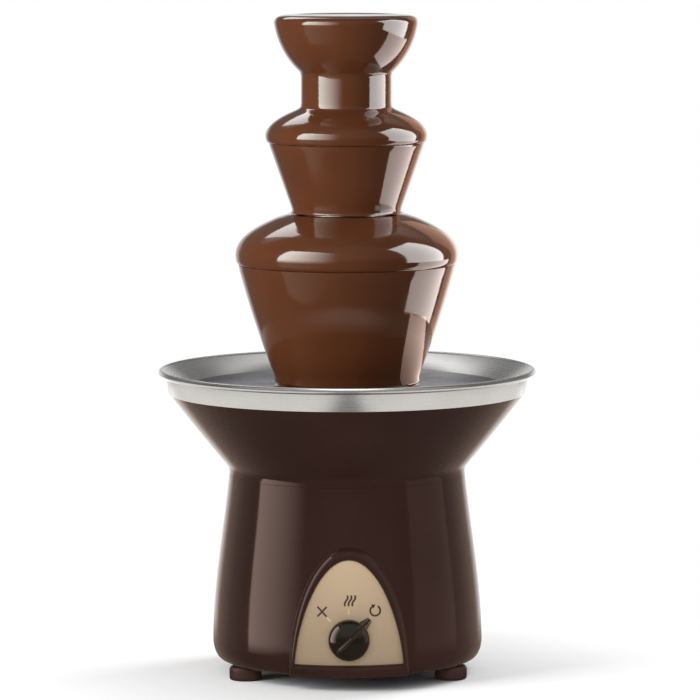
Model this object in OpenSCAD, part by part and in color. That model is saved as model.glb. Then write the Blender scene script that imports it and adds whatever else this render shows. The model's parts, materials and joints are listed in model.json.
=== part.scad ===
// Chocolate fountain: a two-dome tower and its crown over a heated steel bowl on a brown plastic base.
// Millimetres, +Z up, the tower's axis is Z, the control panel faces -Y and the feet stand on Z = 0.

/* [Base housing] */
// Height of the underside above the ground
base_z = 10; // [9:0.5:13]
// Radius of the housing's bottom edge
corner_r = 93.4; // [90:0.1:96]
// Radius of the housing just above its bottom corner
body_foot_r = 99; // [96:0.1:102]
// Height where the bottom corner ends
body_foot_z = 24; // [18:0.5:28]
// Radius of the housing at the waist
body_waist_r = 86.1; // [84:0.1:90]
// Height of the seam at the waist
waist_z = 145; // [140:0.5:152]
// How far the drum bulges between corner and waist
body_bulge = 1.7; // [0:0.1:3]
// Wall thickness of the plastic housings
wall = 2.5; // [2:0.1:3]

/* [Feet] */
// Diameter of a foot pad
foot_d = 23.4; // [18:0.2:26]
// Radius of the circle that the feet stand on
foot_circle_r = 86; // [84:0.5:86]
// Radius of a foot's threaded stud
stud_r = 2.92; // [2.5:0.01:3]

/* [Control panel] */
// Width of the gold panel at its straight bottom edge
panel_w = 77.6; // [70:0.2:80]
// Height of the gold panel
panel_h = 75; // [70:0.5:80]
// Height of the panel's bottom edge above the ground
panel_z = 19; // [17:0.5:22]
// Width of the arched frame at its bottom
frame_w = 86; // [80:0.5:88]
// Height of the frame's apex above the ground
frame_top_z = 103; // [99:0.5:108]
// How far the frame stands out of the housing
frame_rise = 3.2; // [2:0.1:5]
// Height of the knob's centre on the panel
knob_z = 37.6; // [36:0.2:42]
// Diameter of the knob
knob_d = 30; // [26:0.2:32]
// Reach of the pointer from the knob's centre
pointer_reach = 21.5; // [18:0.1:24]
// Where the pointer stands, clockwise from the top
pointer_angle = 45; // [-45:1:45]

/* [Funnel and bowl] */
// Radius of the funnel's top edge
funnel_top_r = 129.4; // [126:0.1:132]
// Height of the funnel's top edge
funnel_top_z = 204.6; // [200:0.1:210]
// Radius of the bowl over its rolled lip
lip_r = 137.6; // [134:0.1:142]
// Height of the bowl's lip
lip_z = 222.3; // [218:0.1:228]
// Radius of the rolled bead
bead_r = 2.4; // [2:0.1:3]
// Height of the bowl's floor
floor_z = 171; // [168:0.5:174]
// Thickness of the bowl's sheet
sheet = 1; // [0.8:0.1:1.2]

/* [Tower] */
// Outer radius of the tower tube above the upper dome
tube_r = 30.5; // [30.3:0.1:31]
// Step in the tube's radius under each dome
tube_step = 1.5; // [1:0.1:2]
// Bore radius of the tower tube
tube_bore_r = 29.2; // [28.8:0.1:29.4]
// Height where the lower dome sits on the tube
lower_seat_z = 320; // [316:0.5:324]
// Height where the upper dome sits on the tube
upper_seat_z = 400; // [396:0.5:404]
// Height of the tube's top end
tube_top_z = 448; // [446:0.5:452]
// How far the crown's sleeve reaches down over the tube
crown_sleeve = 9; // [8:0.5:11]
// Width of an intake notch at the tube's foot
notch_w = 30; // [20:1:34]

/* [Chocolate] */
// Height of the pool's surface
pool_z = 210; // [198:0.5:210]
// Greatest radius of the coated lower dome
lower_dome_r = 81; // [79:0.1:84]
// Height of the lower dome's edge
lower_dome_z = 305; // [302:0.5:308]
// Greatest radius of the coated upper dome
upper_dome_r = 58.8; // [57:0.1:61]
// Height of the upper dome's edge
upper_dome_z = 392; // [389:0.5:395]
// Rise of the lower dome above its edge
lower_dome_h = 30.9; // [29:0.1:33]
// Rise of the upper dome above its edge
upper_dome_h = 22.2; // [20:0.1:24]
// Greatest radius of the coated crown
crown_r = 52.3; // [50:0.1:55]
// Height of the crown from its foot to its brim
crown_h = 41; // [38:0.5:45]
// Radius of the crown's side arc
crown_curve = 69; // [60:1:80]
// Radius of the coated neck
neck_r = 32.9; // [32.7:0.1:34]
// Thickness of the flowing film
film = 2; // [1.6:0.1:2.2]
// Thickness of a falling curtain
curtain = 2; // [1.5:0.1:3]
// How far the lower curtain bulges at half its height
curtain_bulge = 1.6; // [0:0.1:3]

/* [Drive] */
// Size of the gear teeth
tooth = 0.8; // [0.7:0.05:0.85]
// Radius of the drive shaft
shaft_r = 5; // [4.5:0.1:5]
// Radius of the auger's flight
flight_r = 28.3; // [26:0.1:28.5]
// Rise of the flight in one turn
flight_pitch = 30; // [24:1:40]
// Radius of the motor's can
motor_r = 21; // [18:0.5:21]

/* [Hidden] */
$fn = 96;
brown = [0.2, 0.13, 0.11];
dark = [0.13, 0.08, 0.06];
cocoa = [0.3, 0.17, 0.11];
gold = [0.76, 0.67, 0.55];
steel = [0.75, 0.75, 0.76];
zinc = [0.66, 0.67, 0.68];
bronze = [0.7, 0.5, 0.3];
nylon = [0.9, 0.89, 0.85];
film_gap = 0.1;
screw_circle_r = corner_r - 9.4;
running = 0.06;
heater_t = 8;
knob_r = knob_d / 2;
plate_t = 3;
chassis_z = waist_z - 4.5;
chassis_t = 2;
spreader_z = floor_z - 6;
bead_x = lip_r - bead_r;
bead_z = lip_z - bead_r;
wall_foot = [body_waist_r - 7.1, floor_z + 3];
wall_bend = [funnel_top_r - 15.4, lip_z - 12.8];
wall_top = [lip_r - 5, lip_z - 0.8];
floor_r = wall_foot.x - 7;
heater_r = floor_r - 20;
spreader_inner_r = tube_bore_r - 5.2;
funnel_foot_r = body_waist_r + 2.1;
funnel_foot_z = waist_z + 8;
band_t = 1.1;
band_foot_r = funnel_top_r - 0.6;
band_top_r = lip_r - 6.3;
under_bend = wall_bend + sheet * [0.55, -0.84];
under_top = wall_top + sheet * [0.3, -1.2];
band_top_z = under_bend.y - 0.18
    + (band_top_r - under_bend.x) * (under_top.y - under_bend.y) / (under_top.x - under_bend.x);
lower_top_r = tube_r + 14;
lower_top_z = lower_dome_z + lower_dome_h;
lower_fall = (lower_dome_r - lower_top_r) / pow(lower_dome_h, 2);
upper_top_r = neck_r + 0.6;
neck_z = upper_dome_z + upper_dome_h + 1.2;
upper_fall = (upper_dome_r - upper_top_r) / pow(upper_dome_h, 2);
crown_z = tube_top_z - crown_sleeve;
brim_z = crown_z + crown_h;
crown_foot = [neck_r + 1.66, crown_z + 0.34];
crown_end = [crown_r - 0.15, brim_z - 7];
crown_span = crown_end - crown_foot;
crown_axis = (crown_foot + crown_end) / 2
    + sqrt(pow(crown_curve / norm(crown_span), 2) - 0.25) * [-crown_span.y, crown_span.x];
pool_bore_r = tube_r + 2 * tube_step + 0.4;
gland_z = 46;
gland_pad_y = body_foot_r + 0.3;
out_teeth = 54;
small_teeth = 18;
wheel_teeth = 48;
pinion_teeth = 16;
idler_angle = 90;
motor_angle = 200;
idler_at = tooth * (out_teeth + small_teeth) / 2 * [cos(idler_angle), sin(idler_angle)];
motor_at = idler_at + tooth * (wheel_teeth + pinion_teeth) / 2 * [cos(motor_angle), sin(motor_angle)];
small_phase = mesh_phase(0, out_teeth, small_teeth, idler_angle);
pinion_phase = mesh_phase(0, wheel_teeth, pinion_teeth, motor_angle);
foot_angles = [210, 330, 90];
screw_angles = [45, 135, 225, 315];
gear_screw_at = [[26, -14], [-26, -14], [22, 44], [-20, 47]];
auger_z = floor_z + 21;
auger_top_z = tube_top_z - 6;

function reverse(list) = [for (i = [len(list) - 1:-1:0]) list[i]];

// The drum's side: a straight line from corner to waist, fullest a third of the way up, in three bands.
function drum_r(t) = body_foot_r + (body_waist_r - body_foot_r) * t + 6.75 * body_bulge * t * pow(1 - t, 2);
function drum_at(z) = drum_r((z - body_foot_z) / (waist_z - body_foot_z));
function drum_z(i) = body_foot_z + (waist_z - body_foot_z) * i / 3;
function drum_line(off) = [for (i = [0:3]) [drum_r(i / 3) + off, drum_z(i)]];
function corner_line(off) = [for (a = [0:22.5:67.5]) [
    corner_r + off + (body_foot_r - corner_r) * sin(a),
    body_foot_z - (body_foot_z - base_z) * cos(a)]];
panel_tilt = atan((drum_r(0) - drum_r(1 / 3)) / (drum_z(1) - drum_z(0)));
// The panel's face carries the lowest band straight down, without the bottom corner.
function face_r(z) = drum_r(0) + (body_foot_z - z) * tan(panel_tilt);
function face_line(off, z) = concat([[face_r(z) + off, z]],
    [for (i = [1:3]) [drum_r(i / 3) + off, drum_z(i)]]);

// An arch with a straight foot: its half-width falls to nothing at the top.
function arch_side(w, h, power, n) = [for (i = [0:n]) let (u = 1 - pow(1 - i / n, 2))
    [w / 2 * sqrt(max(0, 1 - pow(u, power))), h * u]];
function arch(w, h, power, n = 12) = let (side = arch_side(w, h, power, n))
    concat(side, [for (i = [n - 1:-1:0]) [-side[i].x, side[i].y]]);

// The funnel's side, from the top of the waist's fillet to the rim.
function funnel_r(t) = funnel_foot_r + (funnel_top_r - funnel_foot_r) * t + 2 * t * (1 - t);
function funnel_line(off, last) = [for (i = [0:last])
    [funnel_r(i / 4) + off, funnel_foot_z + (funnel_top_z - funnel_foot_z) * i / 4]];
// The steel band's inner face, which the funnel's upstand stays inside of.
function band_r(z) = band_foot_r
    + (band_top_r - band_foot_r) * (z - funnel_top_z) / (band_top_z - funnel_top_z);
// The inner face of the bowl's wall.
function bowl_r(z) = lookup(z, [for (p = [wall_foot, wall_bend, wall_top]) [p.y, p.x]]);

// A coated dome: its radius falls with the square of the height above its edge.
function dome_line(r, z, fall, top_r, n) = let (h = sqrt((r - top_r) / fall))
    [for (i = [0:n]) [r - fall * pow(h * i / n, 2), z + h * i / n]];

// The crown's side is one arc; the cup and its coat share the centre.
function bearing(p) = atan2(p.y - crown_axis.y, p.x - crown_axis.x);
function crown_arc(inset, low) = [for (i = [0:6])
    let (a = bearing(crown_foot) + (bearing(crown_end) - bearing(crown_foot)) * i / 6)
    let (p = crown_axis + (crown_curve - inset) * [cos(a), sin(a)])
    if (p.y > low) p];

// Involute gears. Angles in degrees.
function involute(a) = tan(a) * 180 / PI - a;
function tooth_half(n, r) = 90 / n - 0.1 / (tooth * n / 2) * 180 / PI + involute(20)
    - involute(acos(min(1, tooth * n / 2 * cos(20) / r)));
function tooth_radii(n) = let (root = tooth * (n / 2 - 1.25), tip = tooth * (n / 2 + 1))
    [root, root + 0.4 * (tip - root), root + 0.7 * (tip - root), tip];
function polar(r, a) = [r * cos(a), r * sin(a)];
function gear_points(n, phase) = [for (i = [0:n - 1]) each concat(
    [for (r = tooth_radii(n)) polar(r, phase + 360 * i / n - tooth_half(n, r))],
    [for (r = reverse(tooth_radii(n))) polar(r, phase + 360 * i / n + tooth_half(n, r))])];
// The phase that puts a driven gear's gap on a driver's tooth, on the line between their centres.
function mesh_phase(phase, n1, n2, angle) = angle + 180 - (phase - angle) * n1 / n2 - 180 / n2;

module ring(inner, outer, z0, z1) {
    translate([0, 0, z0])
        difference() {
            cylinder(r = outer, h = z1 - z0);
            translate([0, 0, -1]) cylinder(r = inner, h = z1 - z0 + 2);
        }
}

module around(angles, r, z) {
    for (a = angles)
        rotate(a) translate([r, 0, z]) children();
}

module front_prism(points, z) {
    translate([0, 0, z]) rotate([90, 0, 0]) linear_extrude(130) polygon(points);
}

module face_shell(inner, outer, z) {
    rotate_extrude() polygon(concat(face_line(inner, z), reverse(face_line(outer, z))));
}

module on_panel() {
    translate([0, -face_r(knob_z), knob_z]) rotate([90 - panel_tilt, 0, 0]) children();
}

// The motor and gears are drawn for a chassis plate at 138.5 and move with it.
module under_chassis() {
    translate([0, 0, chassis_z - 138.5]) children();
}

module gear(n, phase, z0, z1) {
    translate([0, 0, z0]) linear_extrude(z1 - z0) polygon(gear_points(n, phase));
}

module gearbox_outline(off) {
    circle(r = 26 + off);
    translate(idler_at) circle(r = 24 + off);
    translate(motor_at) circle(r = 18.5 + off);
}

module gear_screw_spots() {
    for (p = gear_screw_at) translate(p) children();
}

module motor_screw_spots() {
    translate(motor_at)
        for (a = [110, 290]) rotate(a) translate([12, 0]) children();
}

module base_plate() {
    color(dark) difference() {
        union() {
            translate([0, 0, base_z]) cylinder(r = corner_r - 2.4, h = plate_t);
            around(foot_angles, foot_circle_r, base_z + plate_t - 0.5) cylinder(r = 6.6, h = 11.5);
        }
        around(foot_angles, foot_circle_r, base_z - 1) cylinder(r = 4.52, h = 20);
        around(screw_angles, screw_circle_r, base_z - 1) cylinder(r = 1.9, h = 8);
        around(screw_angles, screw_circle_r, base_z - 1) cylinder(r = 3.9, h = 2.9);
        around([0:30:330], 38, base_z - 1) translate([0, -1.6, 0]) cube([18, 3.2, 8]);
    }
}

module base_screws() {
    color(zinc) around(screw_angles, screw_circle_r, base_z + 0.4) {
        cylinder(r = 3.6, h = 1.5);
        cylinder(r = 1.68, h = 15);
    }
}

module foot_inserts() {
    color(bronze) around(foot_angles, foot_circle_r, base_z)
        difference() {
            cylinder(r = 4.5, h = 14);
            translate([0, 0, -1]) cylinder(r = stud_r + 0.08, h = 16);
        }
}

module foot(angle) {
    color(dark) around([angle], foot_circle_r, 0)
        rotate_extrude() polygon([[0, 0], [foot_d / 2 - 1.6, 0], [foot_d / 2 - 0.4, 0.6], [foot_d / 2, 1.8],
            [foot_d / 2, base_z - 1.6], [foot_d / 2 - 1.2, base_z - 0.2], [stud_r, base_z - 0.2],
            [stud_r, base_z + 16], [0, base_z + 16]]);
}

module foot_left() {
    foot(foot_angles[0]);
}

module foot_right() {
    foot(foot_angles[1]);
}

module foot_rear() {
    foot(foot_angles[2]);
}

module lower_housing() {
    color(brown) difference() {
        union() {
            rotate_extrude() polygon(concat(corner_line(0), drum_line(0),
                reverse(drum_line(-wall)), reverse(corner_line(-2.2))));
            rotate_extrude() polygon([for (p = [[-10.1, -3], [-1.1, -3], [-1.1, 0], [-10.1, 0]])
                [body_waist_r, chassis_z] + p]);
            around(screw_angles, screw_circle_r, base_z + plate_t) {
                cylinder(r = 4.5, h = 24);
                translate([0, -1.5, 0]) cube([drum_at(base_z + plate_t + 24) - 0.9 - screw_circle_r, 3, 24]);
            }
            translate([0, gland_pad_y - 8.5, gland_z]) rotate([-90, 0, 0]) cylinder(r = 10.5, h = 8.5);
        }
        front_prism(arch(frame_w + 0.3, frame_top_z - base_z + 1.15, 2), base_z - 1);
        around(screw_angles, screw_circle_r, base_z) cylinder(r = 1.7, h = 20);
        translate([0, gland_pad_y - 18.5, gland_z]) rotate([-90, 0, 0]) cylinder(r = 6.05, h = 30);
    }
}

module panel_frame() {
    color(brown) difference() {
        union() {
            intersection() {
                front_prism(arch(frame_w + 6, frame_top_z + 2.5 - body_foot_z, 2), body_foot_z + 0.5);
                face_shell(-4.6, -2.6, base_z);
            }
            intersection() {
                front_prism(arch(frame_w, frame_top_z - base_z, 2), base_z);
                face_shell(-4.6, frame_rise * 0.55, base_z);
            }
            intersection() {
                front_prism(arch(frame_w - 2.6, frame_top_z - base_z - 2.9, 2), base_z + 1.6);
                face_shell(-4.6, frame_rise, base_z);
            }
            intersection() {
                translate([0, -65, base_z + 1.25]) cube([frame_w - 0.6, 130, 2.5], center = true);
                ring(corner_r - 2.2, face_r(base_z) - 2, base_z, base_z + 2.5);
            }
        }
        intersection() {
            front_prism(arch(panel_w, panel_h, 1.5), panel_z);
            face_shell(-1.3, 8, base_z);
        }
        intersection() {
            front_prism(arch(panel_w + 2.4, panel_h + 1.6, 1.5), panel_z - 0.9);
            face_shell(frame_rise * 0.55, 8, base_z);
        }
        on_panel() translate([0, 0, -10]) cylinder(r = 5, h = 20);
    }
}

module control_panel() {
    color(gold) difference() {
        intersection() {
            front_prism(arch(panel_w - 0.3, panel_h - 0.3, 1.5), panel_z + 0.1);
            face_shell(-1.3, -0.3, base_z);
        }
        on_panel() translate([0, 0, -10]) cylinder(r = 5, h = 20);
    }
}

module rotary_switch() {
    color(nylon) on_panel() difference() {
        union() {
            translate([-12, -12, -23]) cube([24, 24, 17]);
            translate([0, 0, -6]) cylinder(r = 8, h = 1);
            translate([0, 0, -6]) cylinder(r = 4.8, h = 9);
        }
        translate([0, 0, -12]) cylinder(r = 3 + running, h = 20);
        for (x = [-8, 8]) translate([x - 1, -13, -24]) cube([2, 26, 3]);
    }
}

module switch_nut() {
    color(zinc) on_panel() difference() {
        translate([0, 0, -0.25]) cylinder(r = 7.5, h = 2.2, $fn = 6);
        translate([0, 0, -2]) cylinder(r = 4.82, h = 6);
    }
}

module switch_spindle() {
    color(zinc) on_panel() translate([0, 0, -11.7]) cylinder(r = 3, h = 23.7);
}

module control_knob() {
    color(dark) on_panel() rotate(-pointer_angle) difference() {
        union() {
            rotate_extrude() polygon([[0, 1.2], [knob_r - 0.3, 1.2], [knob_r, 1.6], [knob_r, 5.6],
                [knob_r - 0.8, 7.6], [knob_r - 2.6, 9], [0, 9.8]]);
            translate([0, 0, 2]) linear_extrude(4) polygon([[-5.4, 0], [5.4, 0], [4.6, knob_r],
                [1.6, pointer_reach - 0.6], [0, pointer_reach], [-1.6, pointer_reach - 0.6], [-4.6, knob_r]]);
            rotate([90, 0, 90]) translate([0, 0, -3.2]) linear_extrude(6.4) polygon([[1.6 - knob_r, 6],
                [knob_r - 1.6, 6], [knob_r - 2, 9.5], [knob_r - 4.5, 14.2], [knob_r - 7, 15.6],
                [7 - knob_r, 15.6], [4.5 - knob_r, 14.2], [2 - knob_r, 9.5]]);
        }
        translate([0, 0, -1]) cylinder(r = 9, h = 5.4);
        translate([0, 0, -1]) cylinder(r = 3.02, h = 13.2);
    }
}

module cord_gland() {
    color(dark) translate([0, 0, gland_z]) rotate([-90, 0, 0]) difference() {
        union() {
            translate([0, 0, gland_pad_y]) cylinder(r = 8.5, h = 3);
            translate([0, 0, gland_pad_y - 15.5]) cylinder(r = 6, h = 16);
        }
        translate([0, 0, gland_pad_y - 18.5]) cylinder(r = 3.75, h = 30);
    }
}

module gland_nut() {
    color(dark) translate([0, 0, gland_z]) rotate([-90, 0, 0]) difference() {
        translate([0, 0, gland_pad_y - 13]) cylinder(r = 9.5, h = 4.4, $fn = 6);
        translate([0, 0, gland_pad_y - 18.5]) cylinder(r = 6.02, h = 20);
    }
}

module terminal_block() {
    color(nylon) translate([0, corner_r - 23.4, base_z + plate_t]) difference() {
        translate([-18, -6, 0]) cube([36, 12, 12]);
        for (x = [-11, 0, 11]) translate([x, 0, 4]) cylinder(r = 2.6, h = 9);
        for (x = [-11, 0, 11]) translate([x, -7, 3.4]) rotate([-90, 0, 0]) cylinder(r = 1.7, h = 14);
    }
}

module chassis_plate() {
    color(zinc) translate([0, 0, chassis_z]) linear_extrude(chassis_t) difference() {
        circle(r = body_waist_r - 2.6);
        circle(r = 10);
        gear_screw_spots() circle(r = 1.8);
        for (a = [0, 180]) rotate(a) translate([60, 0]) circle(r = 9);
    }
}

module gearbox_case() {
    color(zinc) under_chassis() difference() {
        union() {
            translate([0, 0, 112]) linear_extrude(24) gearbox_outline(0);
            translate([0, 0, 112]) linear_extrude(24) gear_screw_spots() circle(r = 4.5);
            translate([0, 0, 102]) cylinder(r = 8.8, h = 11);
        }
        translate([0, 0, 115]) linear_extrude(24) gearbox_outline(-2.5);
        translate([0, 0, 104]) cylinder(r = 7.02, h = 20);
        translate([idler_at.x, idler_at.y, 113]) cylinder(r = 2.5, h = 5);
        translate([motor_at.x, motor_at.y, 110]) cylinder(r = 8.5, h = 10);
        translate([0, 0, 110]) linear_extrude(10) motor_screw_spots() circle(r = 1.6);
        translate([0, 0, 118]) linear_extrude(20) gear_screw_spots() circle(r = 1.62);
    }
}

module gearbox_cover() {
    color(zinc) under_chassis() translate([0, 0, 136]) linear_extrude(2.5) difference() {
        union() {
            gearbox_outline(0);
            gear_screw_spots() circle(r = 4.5);
        }
        circle(r = 7.02);
        translate(idler_at) circle(r = 2.52);
        gear_screw_spots() circle(r = 1.8);
    }
}

module gearbox_screws() {
    color(steel) under_chassis() translate([0, 0, 120]) gear_screw_spots() {
        cylinder(r = 1.6, h = 21);
        translate([0, 0, 20.5]) cylinder(r = 3.2, h = 2.2);
    }
}

module gearbox_bushes() {
    color(bronze) under_chassis() {
        ring(shaft_r + running, 7, 104, 115);
        ring(shaft_r + running, 7, 134.5, 142);
    }
}

module output_gear() {
    color(nylon) under_chassis() difference() {
        union() {
            gear(out_teeth, 0, 126, 133);
            translate([0, 0, 124.5]) cylinder(r = 8.5, h = 9.5);
        }
        translate([0, 0, 120]) cylinder(r = shaft_r + 0.02, h = 20);
    }
}

module idler_gear() {
    color(nylon) under_chassis() translate(idler_at) difference() {
        union() {
            gear(wheel_teeth, 0, 118, 124);
            gear(small_teeth, small_phase, 123, 134.5);
            translate([0, 0, 116]) cylinder(r = 5, h = 3);
        }
        translate([0, 0, 110]) cylinder(r = 2.5 + running, h = 30);
    }
}

module idler_pin() {
    color(steel) under_chassis() translate([idler_at.x, idler_at.y, 113.05]) cylinder(r = 2.48, h = 25.4);
}

module motor_can() {
    color(zinc) under_chassis() translate([motor_at.x, motor_at.y, 0]) difference() {
        union() {
            ring(motor_r - 1.2, motor_r, 62, 109);
            translate([0, 0, 62]) cylinder(r = motor_r - 0.5, h = 1.6);
            translate([0, 0, 62]) cylinder(r = 5, h = 4);
        }
        translate([0, 0, 63]) cylinder(r = 2 + running, h = 10);
    }
}

module motor_end_plate() {
    color(zinc) under_chassis() difference() {
        translate([motor_at.x, motor_at.y, 109]) union() {
            cylinder(r = motor_r, h = 3);
            cylinder(r = 7, h = 5);
        }
        translate([motor_at.x, motor_at.y, 100]) cylinder(r = 2 + running, h = 20);
        translate([0, 0, 107]) linear_extrude(10) motor_screw_spots() circle(r = 1.52);
    }
}

module motor_magnets() {
    color(dark) under_chassis() translate([motor_at.x, motor_at.y, 70]) linear_extrude(34) difference() {
        circle(r = motor_r - 1.3);
        circle(r = motor_r - 4.4);
        square([60, 16], center = true);
    }
}

module motor_rotor() {
    color(steel) under_chassis() translate([motor_at.x, motor_at.y, 0]) {
        translate([0, 0, 63.2]) cylinder(r = 2, h = 61.3);
        translate([0, 0, 73]) cylinder(r = motor_r - 5.2, h = 28);
        translate([0, 0, 67]) cylinder(r = 5, h = 7);
    }
}

module motor_pinion() {
    color(bronze) under_chassis() translate([motor_at.x, motor_at.y, 0]) difference() {
        gear(pinion_teeth, pinion_phase, 117, 124.5);
        translate([0, 0, 110]) cylinder(r = 2.01, h = 20);
    }
}

module motor_screws() {
    color(steel) under_chassis() translate([0, 0, 109.5]) motor_screw_spots() {
        cylinder(r = 1.5, h = 6);
        translate([0, 0, 5.5]) cylinder(r = 2.6, h = 1.6);
    }
}

module drive_shaft() {
    color(steel) {
        translate([0, 0, chassis_z - 34.2]) cylinder(r = shaft_r, h = floor_z + 17.5 - chassis_z + 34.2);
        translate([0, 0, floor_z + 17]) cylinder(r = shaft_r - 0.1, h = 16, $fn = 6);
    }
}

module auger_core() {
    color(steel) difference() {
        translate([0, 0, floor_z + 17.8]) cylinder(r = 8, h = auger_top_z - floor_z - 13.8);
        translate([0, 0, floor_z + 11]) cylinder(r = shaft_r + 0.1, h = 22.4, $fn = 6);
    }
}

// One helical strip, four corners to a section.
module auger_flight() {
    steps = 24 * floor((auger_top_z - auger_z) / flight_pitch);
    corners = [[8.15, 0], [flight_r, 0], [flight_r, 2], [8.15, 2]];
    points = [for (i = [0:steps], c = corners)
        [c.x * cos(15 * i), c.x * sin(15 * i), auger_z + flight_pitch * i / 24 + c.y]];
    sides = [for (i = [0:steps - 1], k = [0:3]) let (a = 4 * i + k, b = 4 * i + (k + 1) % 4)
        each [[a, b, b + 4], [a, b + 4, a + 4]]];
    ends = [[0, 3, 2, 1], [4 * steps, 4 * steps + 1, 4 * steps + 2, 4 * steps + 3]];
    color(steel) polyhedron(points, concat(sides, ends));
}

module funnel_housing() {
    color(brown) rotate_extrude() polygon(concat(
        [[body_waist_r - 2.9, chassis_z + chassis_t], [body_waist_r - 2.9, waist_z], [body_waist_r, waist_z],
            [body_waist_r, waist_z + 3.5], [body_waist_r + 0.5, waist_z + 5.8]],
        funnel_line(0, 4),
        [for (p = [[-0.3, 0], [-0.3, 4.4], [-2.8, 4.4], [-2.8, 0.4]])
            [band_r(funnel_top_z + p.y) + p.x, funnel_top_z + p.y]],
        reverse(funnel_line(-3.6, 3)),
        [[body_waist_r - 5.4, waist_z + 3], [body_waist_r - 5.4, chassis_z + chassis_t]]));
}

module rim_band() {
    color(steel) rotate_extrude() polygon([[band_foot_r, funnel_top_z], [band_foot_r + band_t, funnel_top_z],
        [band_top_r + band_t, band_top_z], [band_top_r, band_top_z]]);
}

module bowl() {
    color(steel) rotate_extrude() union() {
        polygon([[14.2, floor_z - sheet], [floor_r + 0.3, floor_z - sheet], wall_foot + sheet * [0.75, -0.75],
            under_bend, under_top, [bead_x - 1, bead_z - 0.2],
            [bead_x - 1, bead_z + 1.6], wall_top, wall_bend, wall_foot, [floor_r, floor_z], [14.2, floor_z]]);
        translate([bead_x, bead_z]) circle(r = bead_r);
    }
}

module bowl_hub() {
    color(nylon) rotate_extrude() polygon([for (p = [[13.9, -13], [13.9, 0], [tube_bore_r - 0.3, 0],
        [tube_bore_r - 0.3, 4], [11, 6], [11, 14], [8.6, 14], [8.6, 7.5], [6.4, 7.5], [6.4, 6],
        [8.02, 6], [8.02, -13]])
        [p.x, floor_z + p.y]]);
}

module hub_nut() {
    color(zinc) difference() {
        translate([0, 0, floor_z - 11]) cylinder(r = 21, h = 11 - sheet, $fn = 6);
        translate([0, 0, floor_z - 19]) cylinder(r = 13.95, h = 30);
    }
}

module hub_bush() {
    color(bronze) ring(shaft_r + running, 8, floor_z - 13, floor_z + 5.9);
}

module shaft_seal() {
    color(dark) ring(shaft_r + 0.05, 8.55, floor_z + 7.55, floor_z + 13);
}

module heat_spreader() {
    color(zinc) difference() {
        ring(spreader_inner_r, floor_r - 6, spreader_z, floor_z - sheet);
        rotate_extrude() translate([heater_r, spreader_z - 0.2]) circle(r = heater_t / 2 + 0.08);
    }
}

module heating_element() {
    color(steel) {
        rotate(110) rotate_extrude(angle = 320) translate([heater_r, spreader_z - 0.2]) circle(d = heater_t);
        for (a = [112.5, 67.5]) rotate(a) translate([heater_r, 0, spreader_z - 14])
            cylinder(r = heater_t / 4, h = 13);
    }
}

module thermostat() {
    color(nylon) rotate(210) translate([heater_r - 17, 0, 0]) {
        translate([0, 0, spreader_z - 7]) cylinder(r = 9, h = 7);
        translate([0, 0, spreader_z - 11]) cylinder(r = 5.5, h = 5);
    }
}

module thermal_fuse() {
    color(nylon) rotate(330) translate([heater_r - 17, -8, spreader_z - 2.55]) rotate([-90, 0, 0])
        cylinder(r = 2.5, h = 16);
}

module tie_studs() {
    color(zinc) around([30, 150, 270], heater_r - 11, chassis_z + chassis_t)
        cylinder(r = 2.5, h = spreader_z - chassis_z - chassis_t);
}

module tower_tube() {
    color(steel) difference() {
        rotate_extrude() polygon([[tube_bore_r, floor_z + 0.3], [tube_r + 2 * tube_step, floor_z + 0.3],
            [tube_r + 2 * tube_step, lower_seat_z], [tube_r + tube_step, lower_seat_z],
            [tube_r + tube_step, upper_seat_z], [tube_r, upper_seat_z], [tube_r, tube_top_z],
            [tube_bore_r, tube_top_z]]);
        around([30, 150, 270], 20, floor_z - 1) translate([0, -notch_w / 2, 0]) cube([20, notch_w, 20]);
    }
}

// A spun dome, one sheet thick, with the sleeve that slides over the tube.
module tier(r, z, fall, top_r, bore, seat_z) {
    line = dome_line(r - film - 0.2, z - 1.4, fall, top_r, 6);
    rotate_extrude() polygon(concat([[bore, seat_z], [bore + 1.1, seat_z], [bore + 1.1, line[5].y - 0.4]],
        [for (i = [5:-1:0]) line[i] - [0.8, 0.9]],
        [line[0] - [0.9, 2.5], line[0] - [0, 2.5]],
        line, [[bore, line[6].y + 0.2]]));
}

module lower_tier() {
    color(steel) tier(lower_dome_r, lower_dome_z, lower_fall, lower_top_r - 0.5,
        tube_r + tube_step + 0.05, lower_seat_z);
}

module upper_tier() {
    color(steel) tier(upper_dome_r, upper_dome_z, upper_fall, tube_r + 1.15, tube_r + 0.05, upper_seat_z);
}

module crown() {
    color(steel) rotate_extrude() polygon(concat([[tube_r + 0.05, crown_z], [tube_r + 1.2, crown_z]],
        crown_arc(film + 0.2, crown_z + 2), [[crown_r - 2.4, brim_z - 3.5], [crown_r - 3.5, brim_z - 3.5]],
        reverse(crown_arc(film + 1.4, tube_top_z + 2)),
        [[tube_bore_r - 2.2, tube_top_z + 1.2], [tube_bore_r - 2.2, tube_top_z],
            [tube_r + 0.05, tube_top_z]]));
}

module crown_chocolate() {
    brim = [[0, -4.8], [-1, -2], [-3.5, -0.1], [-5.9, 0], [-8.1, -1.1]];
    color(cocoa) rotate_extrude() polygon(concat(
        [[tube_r + 1.3, crown_z + film_gap], [neck_r + 0.5, crown_z + film_gap]], crown_arc(0, crown_z + 1.5),
        [for (p = brim) [crown_r, brim_z] + p], [[0, brim_z - 1.4], [0, tube_top_z + 4],
            [tube_bore_r - 2.3, tube_top_z + 4], [tube_bore_r - 2.3, tube_top_z + 1.4]],
        crown_arc(film + 1.55, tube_top_z + 2),
        [[crown_r - 3.7, brim_z - 3.3], [crown_r - 2.2, brim_z - 3.3]],
        reverse(crown_arc(film + 0.05, crown_z + 2))));
}

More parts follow.
